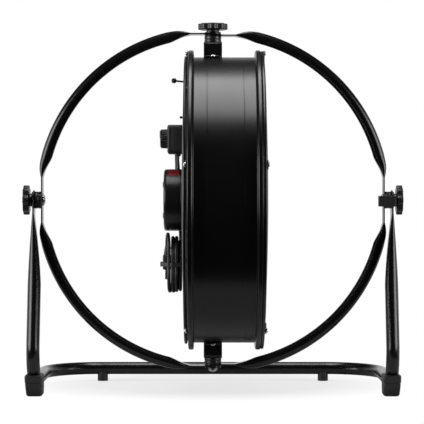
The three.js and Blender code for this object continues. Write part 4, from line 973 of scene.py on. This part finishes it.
def makeBracket(name, node, side):
    # The line runs along the shell, up a side, over the flat top, and down again as its mirror image.
    # The feet's ends are rounded by narrowing the strap there.
    s = bracketSizes
    middle, half = s["seat"] + s["thick"] / 2, s["half"] - s["thick"] / 2
    turns = np.linspace((s["half"] + s["foot"]) / s["seat"], (half + 5) / middle, 12)
    foot = [(-middle * math.sin(a), middle * math.cos(a)) for a in turns]
    line = foot + [(-half, math.sqrt(middle**2 - half**2)), (-half, s["top"] - s["thick"] / 2)]
    line += [(-y, z) for y, z in line[::-1]]
    line = softened(line, [0] * len(foot) + [s["bend"]] * 4 + [0] * len(foot), 6)
    travelled = np.concatenate([[0], np.cumsum(np.linalg.norm(np.diff(line, axis=0), axis=1))])
    rounded, step, whole = s["footRound"], 1.2, travelled[-1]
    near = rounded * (1 - np.cos(np.linspace(0.25, math.pi / 2, 7)))
    between = np.arange(rounded + step, whole - rounded - 1, step)
    stops = np.concatenate([near, between, whole - near[::-1]])
    line = np.stack([np.interp(stops, travelled, line[:, k]) for k in range(2)], 1)
    ahead = directionOf(line)
    out = np.stack([-ahead[:, 1], ahead[:, 0]], 1)
    end = np.clip(np.minimum(stops, stops[-1] - stops) / rounded, 0, 1)
    wide = s["width"] / 2 - rounded * (1 - np.sqrt(1 - (1 - end) ** 2))
    # The section, from one face round the edge to the other: how far in from the edge, and how high
    edge, t = 0.7, s["thick"] / 2
    rim = [(-edge, t), (-0.2, t - 0.2), (0, t - edge), (0, edge - t), (-0.2, 0.2 - t), (-edge, -t)]
    rings = [np.column_stack([wide + inset, line + out * lift]) for inset, lift in rim]
    rings += [np.column_stack([-wide - inset, line + out * lift]) for inset, lift in rim[::-1]]
    rings = (np.stack(rings, 1) * (1, side, side) + pivotAt) * mm
    add(name, skin(rings), tubeEnamel, "drum", node, crease=40)
    screws = []
    lean = s["screwAside"] / s["screwSeat"]
    for way in (-1, 1):
        out = np.array([0, way * math.sin(lean), side * math.cos(lean)])
        screws.append(screwShape(out * s["screwSeat"] + pivotAt, out, 4.6, 2.9))
    add(name + "_screws", merged(screws), zincSteel, "drum", crease=40)


# Distances from the pivot's middle, outward along Z. The knob and the nut stand on the seat
uprightPivot = {
    "spacerEnd": 277.65, "washer": 283.35, "seat": 285.25, "topTip": 296.75, "bottomTip": 289.25,
}


def makeUprightPivot():
    # From the drum outward: the bolt's head, the strap, a spacer, the ring, a washer, and the knob
    # above or the nut below.
    s = uprightPivot
    makeBracket("top_strap", "top_bracket", 1)
    makeBracket("bottom_strap", "bottom_bracket", -1)
    head = bracketSizes["top"] - bracketSizes["thick"] - seatGap - boltSizes["head"]
    near, far = bracketSizes["top"] + seatGap, s["spacerEnd"]
    for name, axis, tip in (("top", "z", s["topTip"]), ("bottom", "-z", s["bottomTip"])):
        add(name + "_carriage_bolt", boltShape(head, tip, axis), zincSteel, "drum", name + "_bolt")
        makeSpacer(name + "_pivot_spacer", name + "_spacer", axis, near, far)
    makeWasher("top_plate_washer", "top_washer", "drum", "z", s["washer"])
    makeWasher("bottom_plate_washer", "bottom_washer", "drum", "-z", s["washer"])
    makeKnob("upper_knob", "knob_top", "z", (0, 0, pivotHeight + s["seat"]))
    makeNut()


def makeNut():
    # A domed nut: six flats under a round shoulder and a dome; the flats fade into the dome.
    base, r, flatsEnd = uprightPivot["seat"], 7.4, 4.6

    def flats(profile, angle):
        along = profile[:, 0] / mm - base
        share = np.clip((flatsEnd - along) / 0.9, 0, 1)[:, None]
        sixth = math.pi / 6
        hexagon = math.cos(sixth) / np.cos((angle + sixth) % (math.pi / 3) - sixth)
        return share * hexagon + (1 - share) * 0.9

    profile = [
        (base, onAxis), (base, r - 0.5), (base + 0.5, r), (base + 3.9, r), (base + flatsEnd, r - 0.2),
        (base + 5.6, 6.0), (base + 6.4, 3.6), (base + 6.8, onAxis),
    ]
    shape = lathe(softened(profile, 0.4, 3), "-z", pivotAt, 96, outline=flats)
    add("bottom_domed_nut", shape, chromeSteel, "drum", "bottom_nut", crease=30)


# Grilles: concentric wires on radial stays, closed by a heavier rim. Every second stay has a lug

grilleSizes = {
    "rimWire": 2.5, "wire": 1.75, "stayDrop": 2.8, "lugs": 5, "firstLug": 13, "lugOuter": 253,
    "lugLap": 4, "lugWidth": 14, "lugThick": 2.0, "screwRadius": 248.2, "screwHead": 3.9,
}
grilles = {
    "rear": {
        "side": -1, "face": drumSizes["rear"], "rim": 241.5, "stand": 4.3, "dome": 5.2,
        "innermost": 61.5, "rings": 19, "head": 3.7,
    },
    "front": {
        "side": 1, "face": drumSizes["front"], "rim": 239.9, "stand": -1.7, "dome": 7.4,
        "innermost": 41.5, "rings": 21, "head": 2.6,
    },
}


def wireX(g, radius):
    # Where the middle of a wire is along the drum's axis: a dome that falls with the radius squared.
    return g["face"] + g["side"] * (g["stand"] + g["dome"] * (1 - (radius / g["rim"]) ** 2))


def wireRing(radius, x, wire, sides, around):
    # A torus: its round section carried about the drum's axis.
    turn = np.arange(sides) * tau / sides
    section = np.stack([x + wire * np.sin(turn), radius + wire * np.cos(turn)], 1)
    return lathe(section, "x", pivotAt, around, closed=True)


def makeGrille(name, end):
    # The stays lie under the rings and follow the same dome. A lug is a rounded plate with a screw.
    s, g = grilleSizes, grilles[end]
    side, rim, wire = g["side"], g["rim"], s["wire"]
    radii = np.linspace(g["innermost"] - 0.5, rim - 0.5, 18)
    path = np.stack([wireX(g, radii) - side * s["stayDrop"], -radii, np.full(18, pivotHeight)], 1)
    stay = tube(path * mm, wire * mm, 10)
    seat = g["face"] + side * seatGap
    top = g["face"] + side * (seatGap + s["lugThick"])
    inner = rim - s["lugLap"]
    outline = roundedRectangle(s["lugOuter"] - inner, s["lugWidth"], 4.5, 5)
    middle = (0, -(s["lugOuter"] + inner) / 2, pivotHeight)
    lug = plateShape(outline, min(seat, top), max(seat, top), 0.4, middle)
    at = (top, -s["screwRadius"], pivotHeight)
    screw = screwShape(at, (side, 0, 0), s["screwHead"], g["head"])

    shapes = [wireRing(rim, wireX(g, rim), s["rimWire"], 12, 224)]
    for radius in np.linspace(rim, g["innermost"], g["rings"])[1:]:
        shapes.append(wireRing(radius, wireX(g, radius), wire, 8, int(52 + 0.45 * radius)))
    screws = []
    for i in range(2 * s["lugs"]):
        degrees = s["firstLug"] + i * 180 / s["lugs"]
        shapes.append(aboutPivot(stay, degrees))
        if i % 2 == 0:
            shapes.append(aboutPivot(lug, degrees))
            screws.append(aboutPivot(screw, degrees))
    if end == "front":
        shapes.append(centreDisc(g))
    add(name, merged(shapes), wireEnamel, "drum", end + "_grille", crease=50)
    add(name + "_screws", merged(screws), zincSteel, "drum", crease=40)


def centreDisc(g):
    # A plain pressed disc: flat rim, one raised step and a shallow dished middle.
    x, r = wireX(g, g["innermost"]), g["innermost"]
    front = [(x + 1.0, onAxis), (x + 1.2, 22), (x + 2.4, 27), (x + 2.4, 32), (x + 0.8, 35), (x + 0.8, r)]
    rear = [(px - 1.6, pr) for px, pr in front[::-1]]
    return lathe(softened(front + rear, 1.2, 4), "x", pivotAt, 96)


makeDrumShell()
makeUprightPivot()
makeGrille("rear_wire_grille", "rear")
makeGrille("front_wire_grille", "front")
print("drum and grilles made")


# Motor: a cast body with fins, carried by a strut across the drum, with a plain cap behind it

motorSizes = {
    "rear": -84.0, "capRadius": 52.5, "capFront": -27.5, "capScrews": 37, "bodyRear": -27.2,
    "bodyFront": 9.8, "bodyRadius": 56, "flange": 68, "mountScrews": 62, "boss": 16.8,
    "shaftRoom": -10.2, "fins": 40, "finShare": 0.075, "markFrom": -76.0, "markTo": -56.6,
}


def onCorners(radius):
    # The corners of a square about the drum's axis.
    angle = np.radians([45, 135, 225, 315])
    return list(zip(radius * np.cos(angle), pivotHeight + radius * np.sin(angle)))


def makeMotor():
    # The cap and the body, with the strut between them, and the screws that hold all three.
    makeCap()
    makeRedMark()
    makeMotorBody()
    placed(eased("motor_crossbar", "motor_strut", 0.5, tubeEnamel, 2), "drum", "motor_strut")
    flange = motorSizes["bodyRear"] + 5
    screws = []
    for y, z in onCorners(motorSizes["mountScrews"]):
        screws.append(screwShape((-30, y, z), (-1, 0, 0), 4.4, 3.2, 6.5))
        screws.append(screwShape((flange, y, z), (1, 0, 0), 4.4, 3.2, 6.0))
    add("motor_mount_screws", merged(screws), zincSteel, "drum", crease=40)


def makeCap():
    # A slightly domed end, a rounded edge, and a plain side with one groove.
    s = motorSizes
    rear, wide, front = s["rear"], s["capRadius"], s["capFront"]
    cap = [
        (rear, onAxis), (rear + 0.05, 16), (rear + 0.4, 34), (rear + 1.2, wide), (rear + 29, wide),
        (rear + 29.3, wide - 0.5), (rear + 30.1, wide - 0.5), (rear + 30.4, wide), (front, wide),
        (front, onAxis),
    ]
    rounding = [0, 6, 12, 5.2, 0.3, 0.3, 0.3, 0.3, 0.6, 0]
    shape = lathe(softened(cap, rounding, 7), "x", pivotAt, 160)
    add("motor_cover", shape, capEnamel, "drum", "motor_rear_cap", crease=40)
    places = [(rear + 0.5, y, z) for y, z in onCorners(s["capScrews"])]
    screws = [screwShape(at, (-1, 0, 0), 3.4, 0.8, 4.8) for at in places]
    add("motor_cover_screws", merged(screws), capEnamel, "drum", crease=40)


def makeRedMark():
    # A thin plain patch that follows the cap's round side.
    s = motorSizes
    angle = np.radians(np.linspace(51, 79, 22))
    turn = np.concatenate([angle, angle[::-1]])
    radius = np.repeat([s["capRadius"] + 0.3, s["capRadius"] + 0.05], len(angle))
    along = np.linspace(s["markFrom"], s["markTo"], 4)
    rings = [roundPivot(x, radius, turn) * mm for x in along]
    add("red_patch", skin(rings), redMark, "drum", crease=40)


def makeMotorBody():
    # A flange, a barrel and a boss that holds the bearing. The fins are a wave round the barrel, cut
    # off flat, which fades out at both its ends.
    s = motorSizes
    rear, front, boss = s["bodyRear"], s["bodyFront"], s["boss"]
    wide, flange, room = s["bodyRadius"], s["flange"], s["shaftRoom"]

    def fins(profile, angle):
        along, radius = profile[:, 0] / mm, profile[:, 1] / mm
        share = np.clip((along - rear - 6.5) / 2, 0, 1) * np.clip((front - 3 - along) / 3, 0, 1)
        share = share * (radius > 46)
        wave = np.clip(0.5 + 1.4 * np.cos(s["fins"] * angle), 0, 1)
        return 1 - s["finShare"] * share[:, None] * (1 - wave)

    body = [
        (rear, onAxis), (rear, flange), (rear + 5, flange), (rear + 5.6, wide + 0.4), (rear + 9, wide),
        (front - 11, wide), (front - 6, wide), (front, 49), (front, 34), (front - 1.6, 32),
        (front - 1.6, 24), (front, 22), (boss, 19), (boss, 14.3), (boss - 8, 14.3), (boss - 8, 7),
        (room, 7), (room, onAxis),
    ]
    rounding = [0, 1, 1, 2, 0.5, 1, 3, 2, 1, 1, 1, 1, 1, 0.5, 0.3, 0.3, 0.3, 0]
    shape = lathe(softened(body, rounding, 4), "x", pivotAt, 320, outline=fins)
    add("motor_casting", shape, castAluminium, "drum", "motor_body")
    race = sleeve(boss - 7.7, boss, 6.3, 14, 0.4)
    shield = sleeve(boss - 0.1, boss + 0.25, 8.4, 12, 0.1)
    rings = [lathe(ring, "x", pivotAt, 64, closed=True) for ring in (race, shield)]
    add("bearing_race", merged(rings), chromeSteel, "drum", "motor_bearing")


# Fan: four cambered sheet blades riveted to the hub's arms

fanSizes = {
    "blades": 4, "thick": 2.0, "root": 72.0, "tip": 228.0, "middle": 33.0, "camber": 7.0,
    "rootDepth": 56.0, "tipDepth": 40.0, "rootWidth": 78.0, "tipWidth": 150.0, "sweep": -0.3,
    "armThick": 2.5, "armGap": 0.95, "armRoot": 34, "armTip": 118, "rivets": (80, 96, 112),
    "bore": 6.3, "hubRear": 18.8, "hubRadius": 16, "hubFront": 48, "disc": 46, "shaft": 6,
}


def bladeSurface(u, v, shift):
    # A blade's middle surface, u from its rear edge to its front edge and v from root to tip. It leans
    # forward along its width, is hollow by a parabola, widens as a sine, and its tip is rounded.
    s = fanSizes
    radius = s["root"] + (s["tip"] - s["root"]) * v
    tipRound = np.sqrt(1 - 0.6 * (np.clip(v - 0.82, 0, 1) / 0.18) ** 2)
    widening = np.sin(math.pi / 2 * np.clip(v, 0, 1))
    width = (s["rootWidth"] + (s["tipWidth"] - s["rootWidth"]) * widening) * tipRound
    depth = (s["rootDepth"] + (s["tipDepth"] - s["rootDepth"]) * v) * tipRound
    across = u - 0.5
    angle = s["sweep"] * v**2 + across * width / radius
    x = s["middle"] + across * depth - s["camber"] * (1 - 4 * across**2) + shift
    return np.stack([x, radius * np.cos(angle), radius * np.sin(angle) + pivotHeight], -1)


def shareOut(radius):
    # Where a radius lies on a blade: 0 at its root and 1 at its tip.
    return (radius - fanSizes["root"]) / (fanSizes["tip"] - fanSizes["root"])


def bladeSheet(uFrom, uTo, vFrom, vTo, thick, shift, uSteps, vSteps):
    # The surface given a thickness along X, with its long edges rounded by two points between.
    u = np.linspace(uFrom, uTo, uSteps + 1)
    v = np.linspace(vFrom, vTo, vSteps + 1)[:, None]
    inset = (uTo - uFrom) * 0.006
    across = np.concatenate([[uFrom + inset], u[1:-1], [uTo - inset]])
    rear = bladeSurface(across[None, :], v, shift - thick / 2)
    front = bladeSurface(across[None, ::-1], v, shift + thick / 2)
    edgeTo = bladeSurface(np.array([[uTo, uTo]]), v, shift)
    edgeFrom = bladeSurface(np.array([[uFrom, uFrom]]), v, shift)
    edgeTo[:, :, 0] += np.array([-thick / 4, thick / 4])
    edgeFrom[:, :, 0] += np.array([thick / 4, -thick / 4])
    return skin(np.concatenate([rear, edgeTo, front, edgeFrom], 1) * mm)


def bladeRivets(armShift):
    # Two rows through a blade and its arm, square to the blade's surface: a head on the blade, a
    # smaller one on the arm, and the shank between the two sheets.
    s = fanSizes
    blade, arm = s["thick"] / 2, armShift - s["armThick"] / 2
    shank = np.array([-blade, armShift + s["armThick"] / 2])[:, None] * np.ones(16)
    rivets = []
    for radius in s["rivets"]:
        for u in (0.42, 0.58):
            v = shareOut(radius)
            at = bladeSurface(u, v, 0)
            out = np.cross(bladeSurface(u + 0.01, v, 0) - at, bladeSurface(u, v + 0.01, 0) - at)
            out /= np.linalg.norm(out) * math.copysign(1, out[0])
            rivets.append(rivetShape(at + (blade - 0.15, 0, 0), out, 4.2, 1.9))
            rivets.append(rivetShape(at + (arm + 0.15, 0, 0), -out, 3.4, 1.5))
            rivets.append(skin(seatedRings(at, (1, 0, 0), shank, np.full(shank.shape, 3.6))))
    return merged(rivets)


def allRound(shape):
    # A shape repeated for every blade.
    count = fanSizes["blades"]
    return [aboutPivot(shape, -360 * i / count) for i in range(count)]


def makeFan():
    # The hub: a sleeve on the shaft with a flat disc, from which the arms run out.
    s = fanSizes
    half = s["armThick"] / 2
    armShift = -(s["thick"] + s["armThick"]) / 2 - s["armGap"]
    disc = s["middle"] - s["camber"] + armShift
    rear, front, wide, rim, bore = s["hubRear"], s["hubFront"], s["hubRadius"], s["disc"], s["bore"]
    hub = [
        (rear, bore), (rear, wide), (disc - 3.4, wide + 0.4), (disc - half, 19), (disc - half, rim),
        (disc + half, rim), (disc + half, 19), (disc + 3.6, wide + 0.4), (front - 2, wide),
        (front, wide - 1.4), (front, bore),
    ]
    rounding = [0, 1, 2, 2, 0.8, 0.8, 2, 2, 1, 0.5, 0]
    hubShape = lathe(softened(hub, rounding, 4), "x", pivotAt, 96, closed=True)
    armFrom, armTo = shareOut(s["armRoot"]), shareOut(s["armTip"])
    arm = bladeSheet(0.36, 0.64, armFrom, armTo, s["armThick"], armShift, 10, 18)
    blade = bladeSheet(0, 1, 0, 1, s["thick"], 0, 30, 40)
    add("fan_spider", merged([hubShape] + allRound(arm)), capEnamel, "fan", "fan_hub", crease=40)
    for i, shape in enumerate(allRound(blade)):
        name = "blade_" + str(i + 1)
        add("sheet_" + name, shape, rolledAluminium, "fan", name, crease=40)
    rivets = merged(allRound(bladeRivets(armShift)))
    add("blade_rivets", rivets, castAluminium, "fan", crease=40)
    end, r = motorSizes["shaftRoom"] + 1, s["shaft"]
    tip = front + 6
    shaft = [(end, onAxis), (end, r), (tip - 1, r), (tip, r - 1), (tip, 2.2), (tip - 1.2, onAxis)]
    shape = lathe(softened(shaft, 0.4, 3), "x", pivotAt, 48)
    add("motor_shaft", shape, chromeSteel, "fan", "fan_shaft")
    grub = screwShape((front - 5, 0, pivotHeight + wide), (0, 0, 1), 3.2, 1.2)
    add("hub_set_screw", grub, zincSteel, "fan", crease=40)


# Switch box: a base and a screwed cover with a rotary knob, a gland for the motor's lead and a relief

boxSizes = {
    "face": -52.15, "rear": -76.15, "seam": -69.4, "width": 60, "height": 49, "corner": 7,
    "groove": 1.1, "bottom": 78, "dial": 104,
}
dialAt = (0, 0, pivotHeight + boxSizes["dial"])


def makeSwitchBox():
    # The base and the cover meet in a groove, with a narrower core in it.
    s = boxSizes
    rear, seam, groove = s["rear"], s["seam"], s["groove"]
    middle = (0, 0, pivotHeight + s["bottom"] + s["height"] / 2)
    outline = roundedRectangle(s["width"], s["height"], s["corner"], 8)
    inset = roundedRectangle(s["width"] - 2 * groove, s["height"] - 2 * groove, s["corner"] - groove, 8)
    base = plateShape(outline, seam + 0.1, s["face"], 0.5, middle)
    core = plateShape(inset, seam - 1.2, seam + 1.6, 0.2, middle)
    cover = plateShape(outline, rear, seam - 0.1, [2.2, 0.35], middle, steps=5)
    boss = [(rear - 0.2, 5), (rear - 0.2, 18.4), (rear + 1, 19.2), (rear + 1, 5)]
    bossShape = lathe(boss, "x", dialAt, 72, closed=True)
    housing = merged([base, core, cover, bossShape])
    add("switch_housing", housing, boxPlastic, "drum", "switch_box", crease=40)
    screws = []
    for y in (-24.5, 24.5):
        for z in (middle[2] - 19, middle[2] + 19):
            screws.append(screwShape((rear, y, z), (-1, 0, 0), 2.6, 1.4))
    add("housing_screws", merged(screws), zincSteel, "drum", crease=40)
    ticks = []
    for a in np.radians([90, 45, 0, -45]):
        out = np.array([0, math.cos(a), math.sin(a)])
        side = np.array([0, -math.sin(a), math.cos(a)])
        ring = [out * r + side * w for r, w in ((20.3, -0.6), (22.6, -0.6), (22.6, 0.6), (20.3, 0.6))]
        rings = [np.array(ring) + dialAt + (x, 0, 0) for x in (rear - 0.22, rear + 0.3)]
        ticks.append(skin(np.array(rings) * mm))
    add("dial_ticks", merged(ticks), paleMark, "drum", crease=40)
    makeDial()
    makeClampPlate()
    makeMotorLead()
    makeRelief()


dialSizes = {"depth": 13, "stem": 3, "stemEnd": 20.3, "ribs": 24, "ribShare": 0.085}


def makeDial():
    # A round knob with fine ribs on its side, a bar to grip on its end and a pale line on the bar.
    s = dialSizes
    rear = boxSizes["rear"] - seatGap - s["depth"]

    def ribs(profile, angle):
        along, radius = profile[:, 0] / mm, profile[:, 1] / mm
        share = np.clip((radius - 14) / 1.6, 0, 1) * np.clip((along - rear - 1) / 1.5, 0, 1)
        share = share * np.clip((rear + 11.8 - along) / 0.6, 0, 1)
        wave = np.clip(0.5 + 0.9 * np.cos(s["ribs"] * angle), 0, 1)
        return 1 - s["ribShare"] * share[:, None] * (1 - wave)

    face, end, stem = rear + s["depth"], rear + s["stemEnd"], s["stem"]
    profile = [
        (rear + 0.5, onAxis), (rear + 0.5, 11.2), (rear, 12), (rear, 13.8), (rear + 1.6, 15.9),
        (rear + 4, 16.1), (rear + 11, 16.4), (face, 16.6), (face, stem), (end, stem), (end, onAxis),
    ]
    rounding = [0, 0.4, 0.4, 1.2, 1.4, 1, 0.3, 0.4, 0.3, 0.2, 0]
    shape = lathe(softened(profile, rounding, 4), "x", dialAt, 240, outline=ribs)
    height = dialAt[2]
    bar = roundedRectangle(3.4, 13, 1.4, 4)
    barShape = plateShape(bar, rear - 0.9, rear + 1.2, 0.6, (0, 0, height + 7.5))
    add("rotary_knob", merged([shape, barShape]), knobPlastic, "switch_knob", "switch_knob", crease=40)
    line = roundedRectangle(0.9, 9, 0.4, 3)
    lineShape = plateShape(line, rear - 1.05, rear - 0.5, 0.1, (0, 0, height + 8))
    add("knob_line", lineShape, paleMark, "switch_knob", crease=40)


def makeClampPlate():
    # The plate as it is in CAD, with its edges eased, and four screws from it to the box.
    low, high = (np.array(corner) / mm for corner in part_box("box_clamp_plate"))
    placed(eased("clamp_sheet", "box_clamp_plate", 0.35, tubeEnamel, 2), "drum", "box_clamp_plate")
    middle = (low[2] + high[2]) / 2
    places = [(y, middle + z) for y in (-17, 17) for z in (-11, 11)]
    heads = [screwShape((high[0], y, z), (1, 0, 0), 3.4, 2.4, 4.6) for y, z in places]
    start, end, shank = boxSizes["face"], low[0], 1.7
    profile = [(start, onAxis), (start, shank), (end, shank), (end, onAxis)]
    shanks = [lathe(profile, "x", (0, y, z), 16) for y, z in places]
    add("clamp_screws", merged(heads + shanks), zincSteel, "drum", crease=40)


leadSizes = {"x": -59, "y": -12, "radius": 2.6, "room": 2.7, "top": 73.9, "bottom": 51.2}


def makeMotorLead():
    # The lead hangs from a gland under the box and enters the cap through a grommet. It sways a little.
    s = leadSizes
    x, y, room, top = s["x"], s["y"], s["room"], boxSizes["bottom"]
    at = (x, y, pivotHeight)
    gland = [
        (top - 4, room), (top - 4, 4.1), (top - 3.2, 4.7), (top - 0.6, 4.8), (top - seatGap, 4.8),
        (top - seatGap, room),
    ]
    glandShape = lathe(softened(gland, 0.4, 3), "z", at, 40, closed=True)
    add("lead_gland", glandShape, shoeRubber, "drum", "lead_collar")
    heights = np.array([s["top"], 68, 62, 56, s["bottom"]]) + pivotHeight
    sway = np.array([0, -0.5, 0.1, 0.5, 0.1])
    path = smoothPath(np.stack([x + sway, np.full(5, float(y)), heights], 1) * mm, 0.8 * mm)
    grommet = [(50.2, room), (50.2, 5), (51.6, 5), (52.6, 4.2), (52.9, 3.2), (52.9, room)]
    grommetShape = lathe(softened(grommet, 0.4, 3), "z", at, 40, closed=True)
    lead = merged([tube(path, s["radius"] * mm, 20), grommetShape])
    add("motor_feed", lead, cordRubber, "drum", "motor_lead")


reliefSizes = {"x": -64.15, "height": 19, "length": 25, "radius": 6.2, "rib": 4.9, "ribs": 7, "pitch": 2.8}


def makeRelief():
    # The boot that guides the cord out of the box: a collar, and ribs that grow narrower outwards.
    s = reliefSizes
    start = boxSizes["width"] / 2 + seatGap
    end = start + s["length"]
    relief = [(start, onAxis), (start, s["radius"]), (start + 3, s["radius"]), (start + 3.6, s["rib"])]
    for i in range(s["ribs"]):
        at, wide = start + 4.2 + s["pitch"] * i, s["rib"] - 0.13 * i
        relief += [(at, wide), (at + 1.7, wide - 0.06), (at + 1.9, wide - 0.9), (at + 2.6, wide - 0.95)]
    relief += [(end - 0.5, 3.9), (end, 3.6), (end, onAxis)]
    centre = (s["x"], 0, pivotHeight + boxSizes["bottom"] + s["height"])
    shape = lathe(softened(relief, 0.25, 2), "y", centre, 36)
    add("relief_boot", shape, cordRubber, "drum", "cord_relief", crease=40)


hookSizes = {"rod": 1.6, "ball": 4.5}


def makeHook(name, node, radius, degrees, reach, lift):
    # A rod welded to a ring of the rear grille and tipped with a ball, which stands higher by the lift.
    rod, ball = hookSizes["rod"], hookSizes["ball"]
    start = wireX(grilles["rear"], radius) - grilleSizes["wire"] - seatGap
    y, z = roundPivot(0, radius, math.radians(degrees))[1:]
    low = z - lift / 2
    t = np.linspace(0, 1, 10)[:, None]
    path = (np.array([start + 0.2, y, low]) + t * np.array([-reach, 0, lift])) * mm
    turns = np.linspace(0, math.pi, 14)
    globe = [(-ball * math.cos(b), max(ball * math.sin(b), onAxis)) for b in turns]
    globeShape = lathe(globe, "x", tuple(path[-1] / mm), 28)
    foot = [(start - 1.6, onAxis), (start - 1.6, rod), (start - 0.6, 2.4), (start + 0.3, 2.7)]
    footShape = lathe(foot + [(start + 0.3, onAxis)], "x", (0, y, low), 20)
    shape = merged([tube(path, rod * mm, 16, (0, 0, 1)), globeShape, footShape])
    add(name, shape, wireEnamel, "drum", node)


def makeStub():
    # A short rounded wire end on one of the rings above the box.
    radius, wide, neck = 141.5, 2.2, 1.5
    start = wireX(grilles["rear"], radius) - 1.5
    profile = [
        (start - 5.6, onAxis), (start - 5.6, 1.9), (start - 2.2, wide), (start - 1.8, neck),
        (start, neck), (start, onAxis),
    ]
    at = tuple(roundPivot(0, radius, math.radians(80)))
    add("wire_end", lathe(softened(profile, 0.6, 3), "x", at, 20), wireEnamel, "drum")


makeMotor()
makeFan()
makeSwitchBox()
makeHook("upper_cord_hook", "cord_hook_upper", 201.5, 88, 17, 1.8)
makeHook("lower_cord_hook", "cord_hook_lower", 81.5, -87.9, 24, 0)
makeStub()
print("motor, fan and switch box made")


# Floor, light and background

stageSizes = {
    "wide": 0.62, "deep": 0.45, "middle": 0.17, "shadeWide": 0.37, "shadeDeep": 0.3,
    "fadeFrom": 0.55, "fadeTo": 0.95, "leastWhite": 0.72, "color": 0.55, "points": 96,
}


def makeStage():
    # A pale oval floor. Towards its edge and before the object it passes into the white of the
    # background, which the camera sees as light of its own.
    s = stageSizes
    angle = np.arange(s["points"]) * tau / s["points"]
    points = np.stack([s["wide"] * np.cos(angle), s["deep"] * np.sin(angle) + s["middle"], 0 * angle], 1)
    mesh = bpy.data.meshes.new("floor")
    mesh.from_pydata(points.tolist(), [], [list(range(s["points"]))])
    floor = bpy.data.objects.new("floor", mesh)
    bpy.context.scene.collection.objects.link(floor)
    paint = Paint("pale_floor", (s["color"],) * 3, 0.7)
    away = (0, -s["middle"] / s["shadeDeep"], 0)
    shrunk = (1 / s["shadeWide"], 1 / s["shadeDeep"], 1)
    inputs = {"Vector": paint.place, "Location": away, "Scale": shrunk}
    centred = paint.node("ShaderNodeMapping", inputs=inputs)
    distance = paint.node("ShaderNodeVectorMath", "Value", operation="LENGTH", inputs={0: centred})
    depth = paint.node("ShaderNodeSeparateXYZ", "Y", inputs={0: paint.place})
    fade = paint.span(distance, s["fadeFrom"], s["fadeTo"], s["leastWhite"], 1)
    seen = paint.node("ShaderNodeLightPath", "Is Camera Ray")
    mirrored = paint.node("ShaderNodeLightPath", "Is Glossy Ray") * paint.span(depth, 0.3, 0.6)
    lit = Value(paint, paint.shader.outputs[0])
    white = paint.node("ShaderNodeEmission")
    mix = paint.node("ShaderNodeMixShader", inputs={0: fade * (seen + mirrored), 1: lit, 2: white})
    paint.feed(paint.tree.nodes["Material Output"].inputs["Surface"], mix)
    mesh.materials.append(paint.material)


lights = {
    "overhead": {"place": (0, -0.08, 2.4), "aim": (0, -0.08, 0), "size": (0.7, 1.72), "watts": 28},
    "left": {"place": (-2.25, -1.15, 0.85), "aim": (0, 0, 0.4), "size": (1.7, 1.5), "watts": 58},
    "right": {"place": (2.25, -1.15, 0.85), "aim": (0, 0, 0.4), "size": (1.7, 1.5), "watts": 50},
}


def makeLight(name, place, aim, size, watts):
    # A rectangular lamp turned towards the point it is aimed at.
    lamp = bpy.data.lights.new(name, "AREA")
    lamp.shape = "RECTANGLE"
    lamp.size, lamp.size_y = size
    lamp.energy = watts
    light = bpy.data.objects.new(name, lamp)
    light.location = place
    direction = mathutils.Vector(aim) - mathutils.Vector(place)
    light.rotation_euler = direction.to_track_quat("-Z", "Y").to_euler()
    bpy.context.scene.collection.objects.link(light)


roomSizes = {
    "fill": 0.12,  # light on the object from all round
    "dark": 0.015,  # what polish shows of the camera's side of the room
    "high": 0.02,  # the share of the white that polish shows high up
}


def makeRoom():
    # The camera sees a white background, and so does polish that faces the back of the room. The
    # camera's side of the room is dark, and the fill that reaches the object is weak.
    s, white = roomSizes, (1, 1, 1, 1)
    world = bpy.data.worlds.new("studio")
    bpy.context.scene.world = world
    world.use_nodes = True
    room = Nodes(world.node_tree)
    seen = room.node("ShaderNodeLightPath", "Is Camera Ray")
    polished = room.node("ShaderNodeLightPath", "Is Glossy Ray")
    direction = room.node("ShaderNodeTexCoord", "Generated")
    behind = room.span(room.node("ShaderNodeSeparateXYZ", "Y", inputs={0: direction}), -0.25, 0.35)
    height = room.node("ShaderNodeSeparateXYZ", "Z", inputs={0: direction})
    low = room.span(height, 0.55, 0.25, s["high"], 1)
    fill = room.span(polished, 0, 1, s["fill"], s["dark"])
    filled = room.node("ShaderNodeBackground", inputs={"Color": white, "Strength": fill})
    backdrop = room.tree.nodes["Background"]
    backdrop.inputs["Color"].default_value = white
    share = seen + polished * (behind * low)
    inputs = {0: share, 1: filled, 2: Value(room, backdrop.outputs[0])}
    mix = room.node("ShaderNodeMixShader", inputs=inputs)
    room.feed(room.tree.nodes["World Output"].inputs["Surface"], mix)


makeStage()
makeRoom()
for lightName, light in lights.items():
    makeLight(lightName, **light)
bpy.context.scene.view_settings.view_transform = "Standard"
print("floor, light and room made")
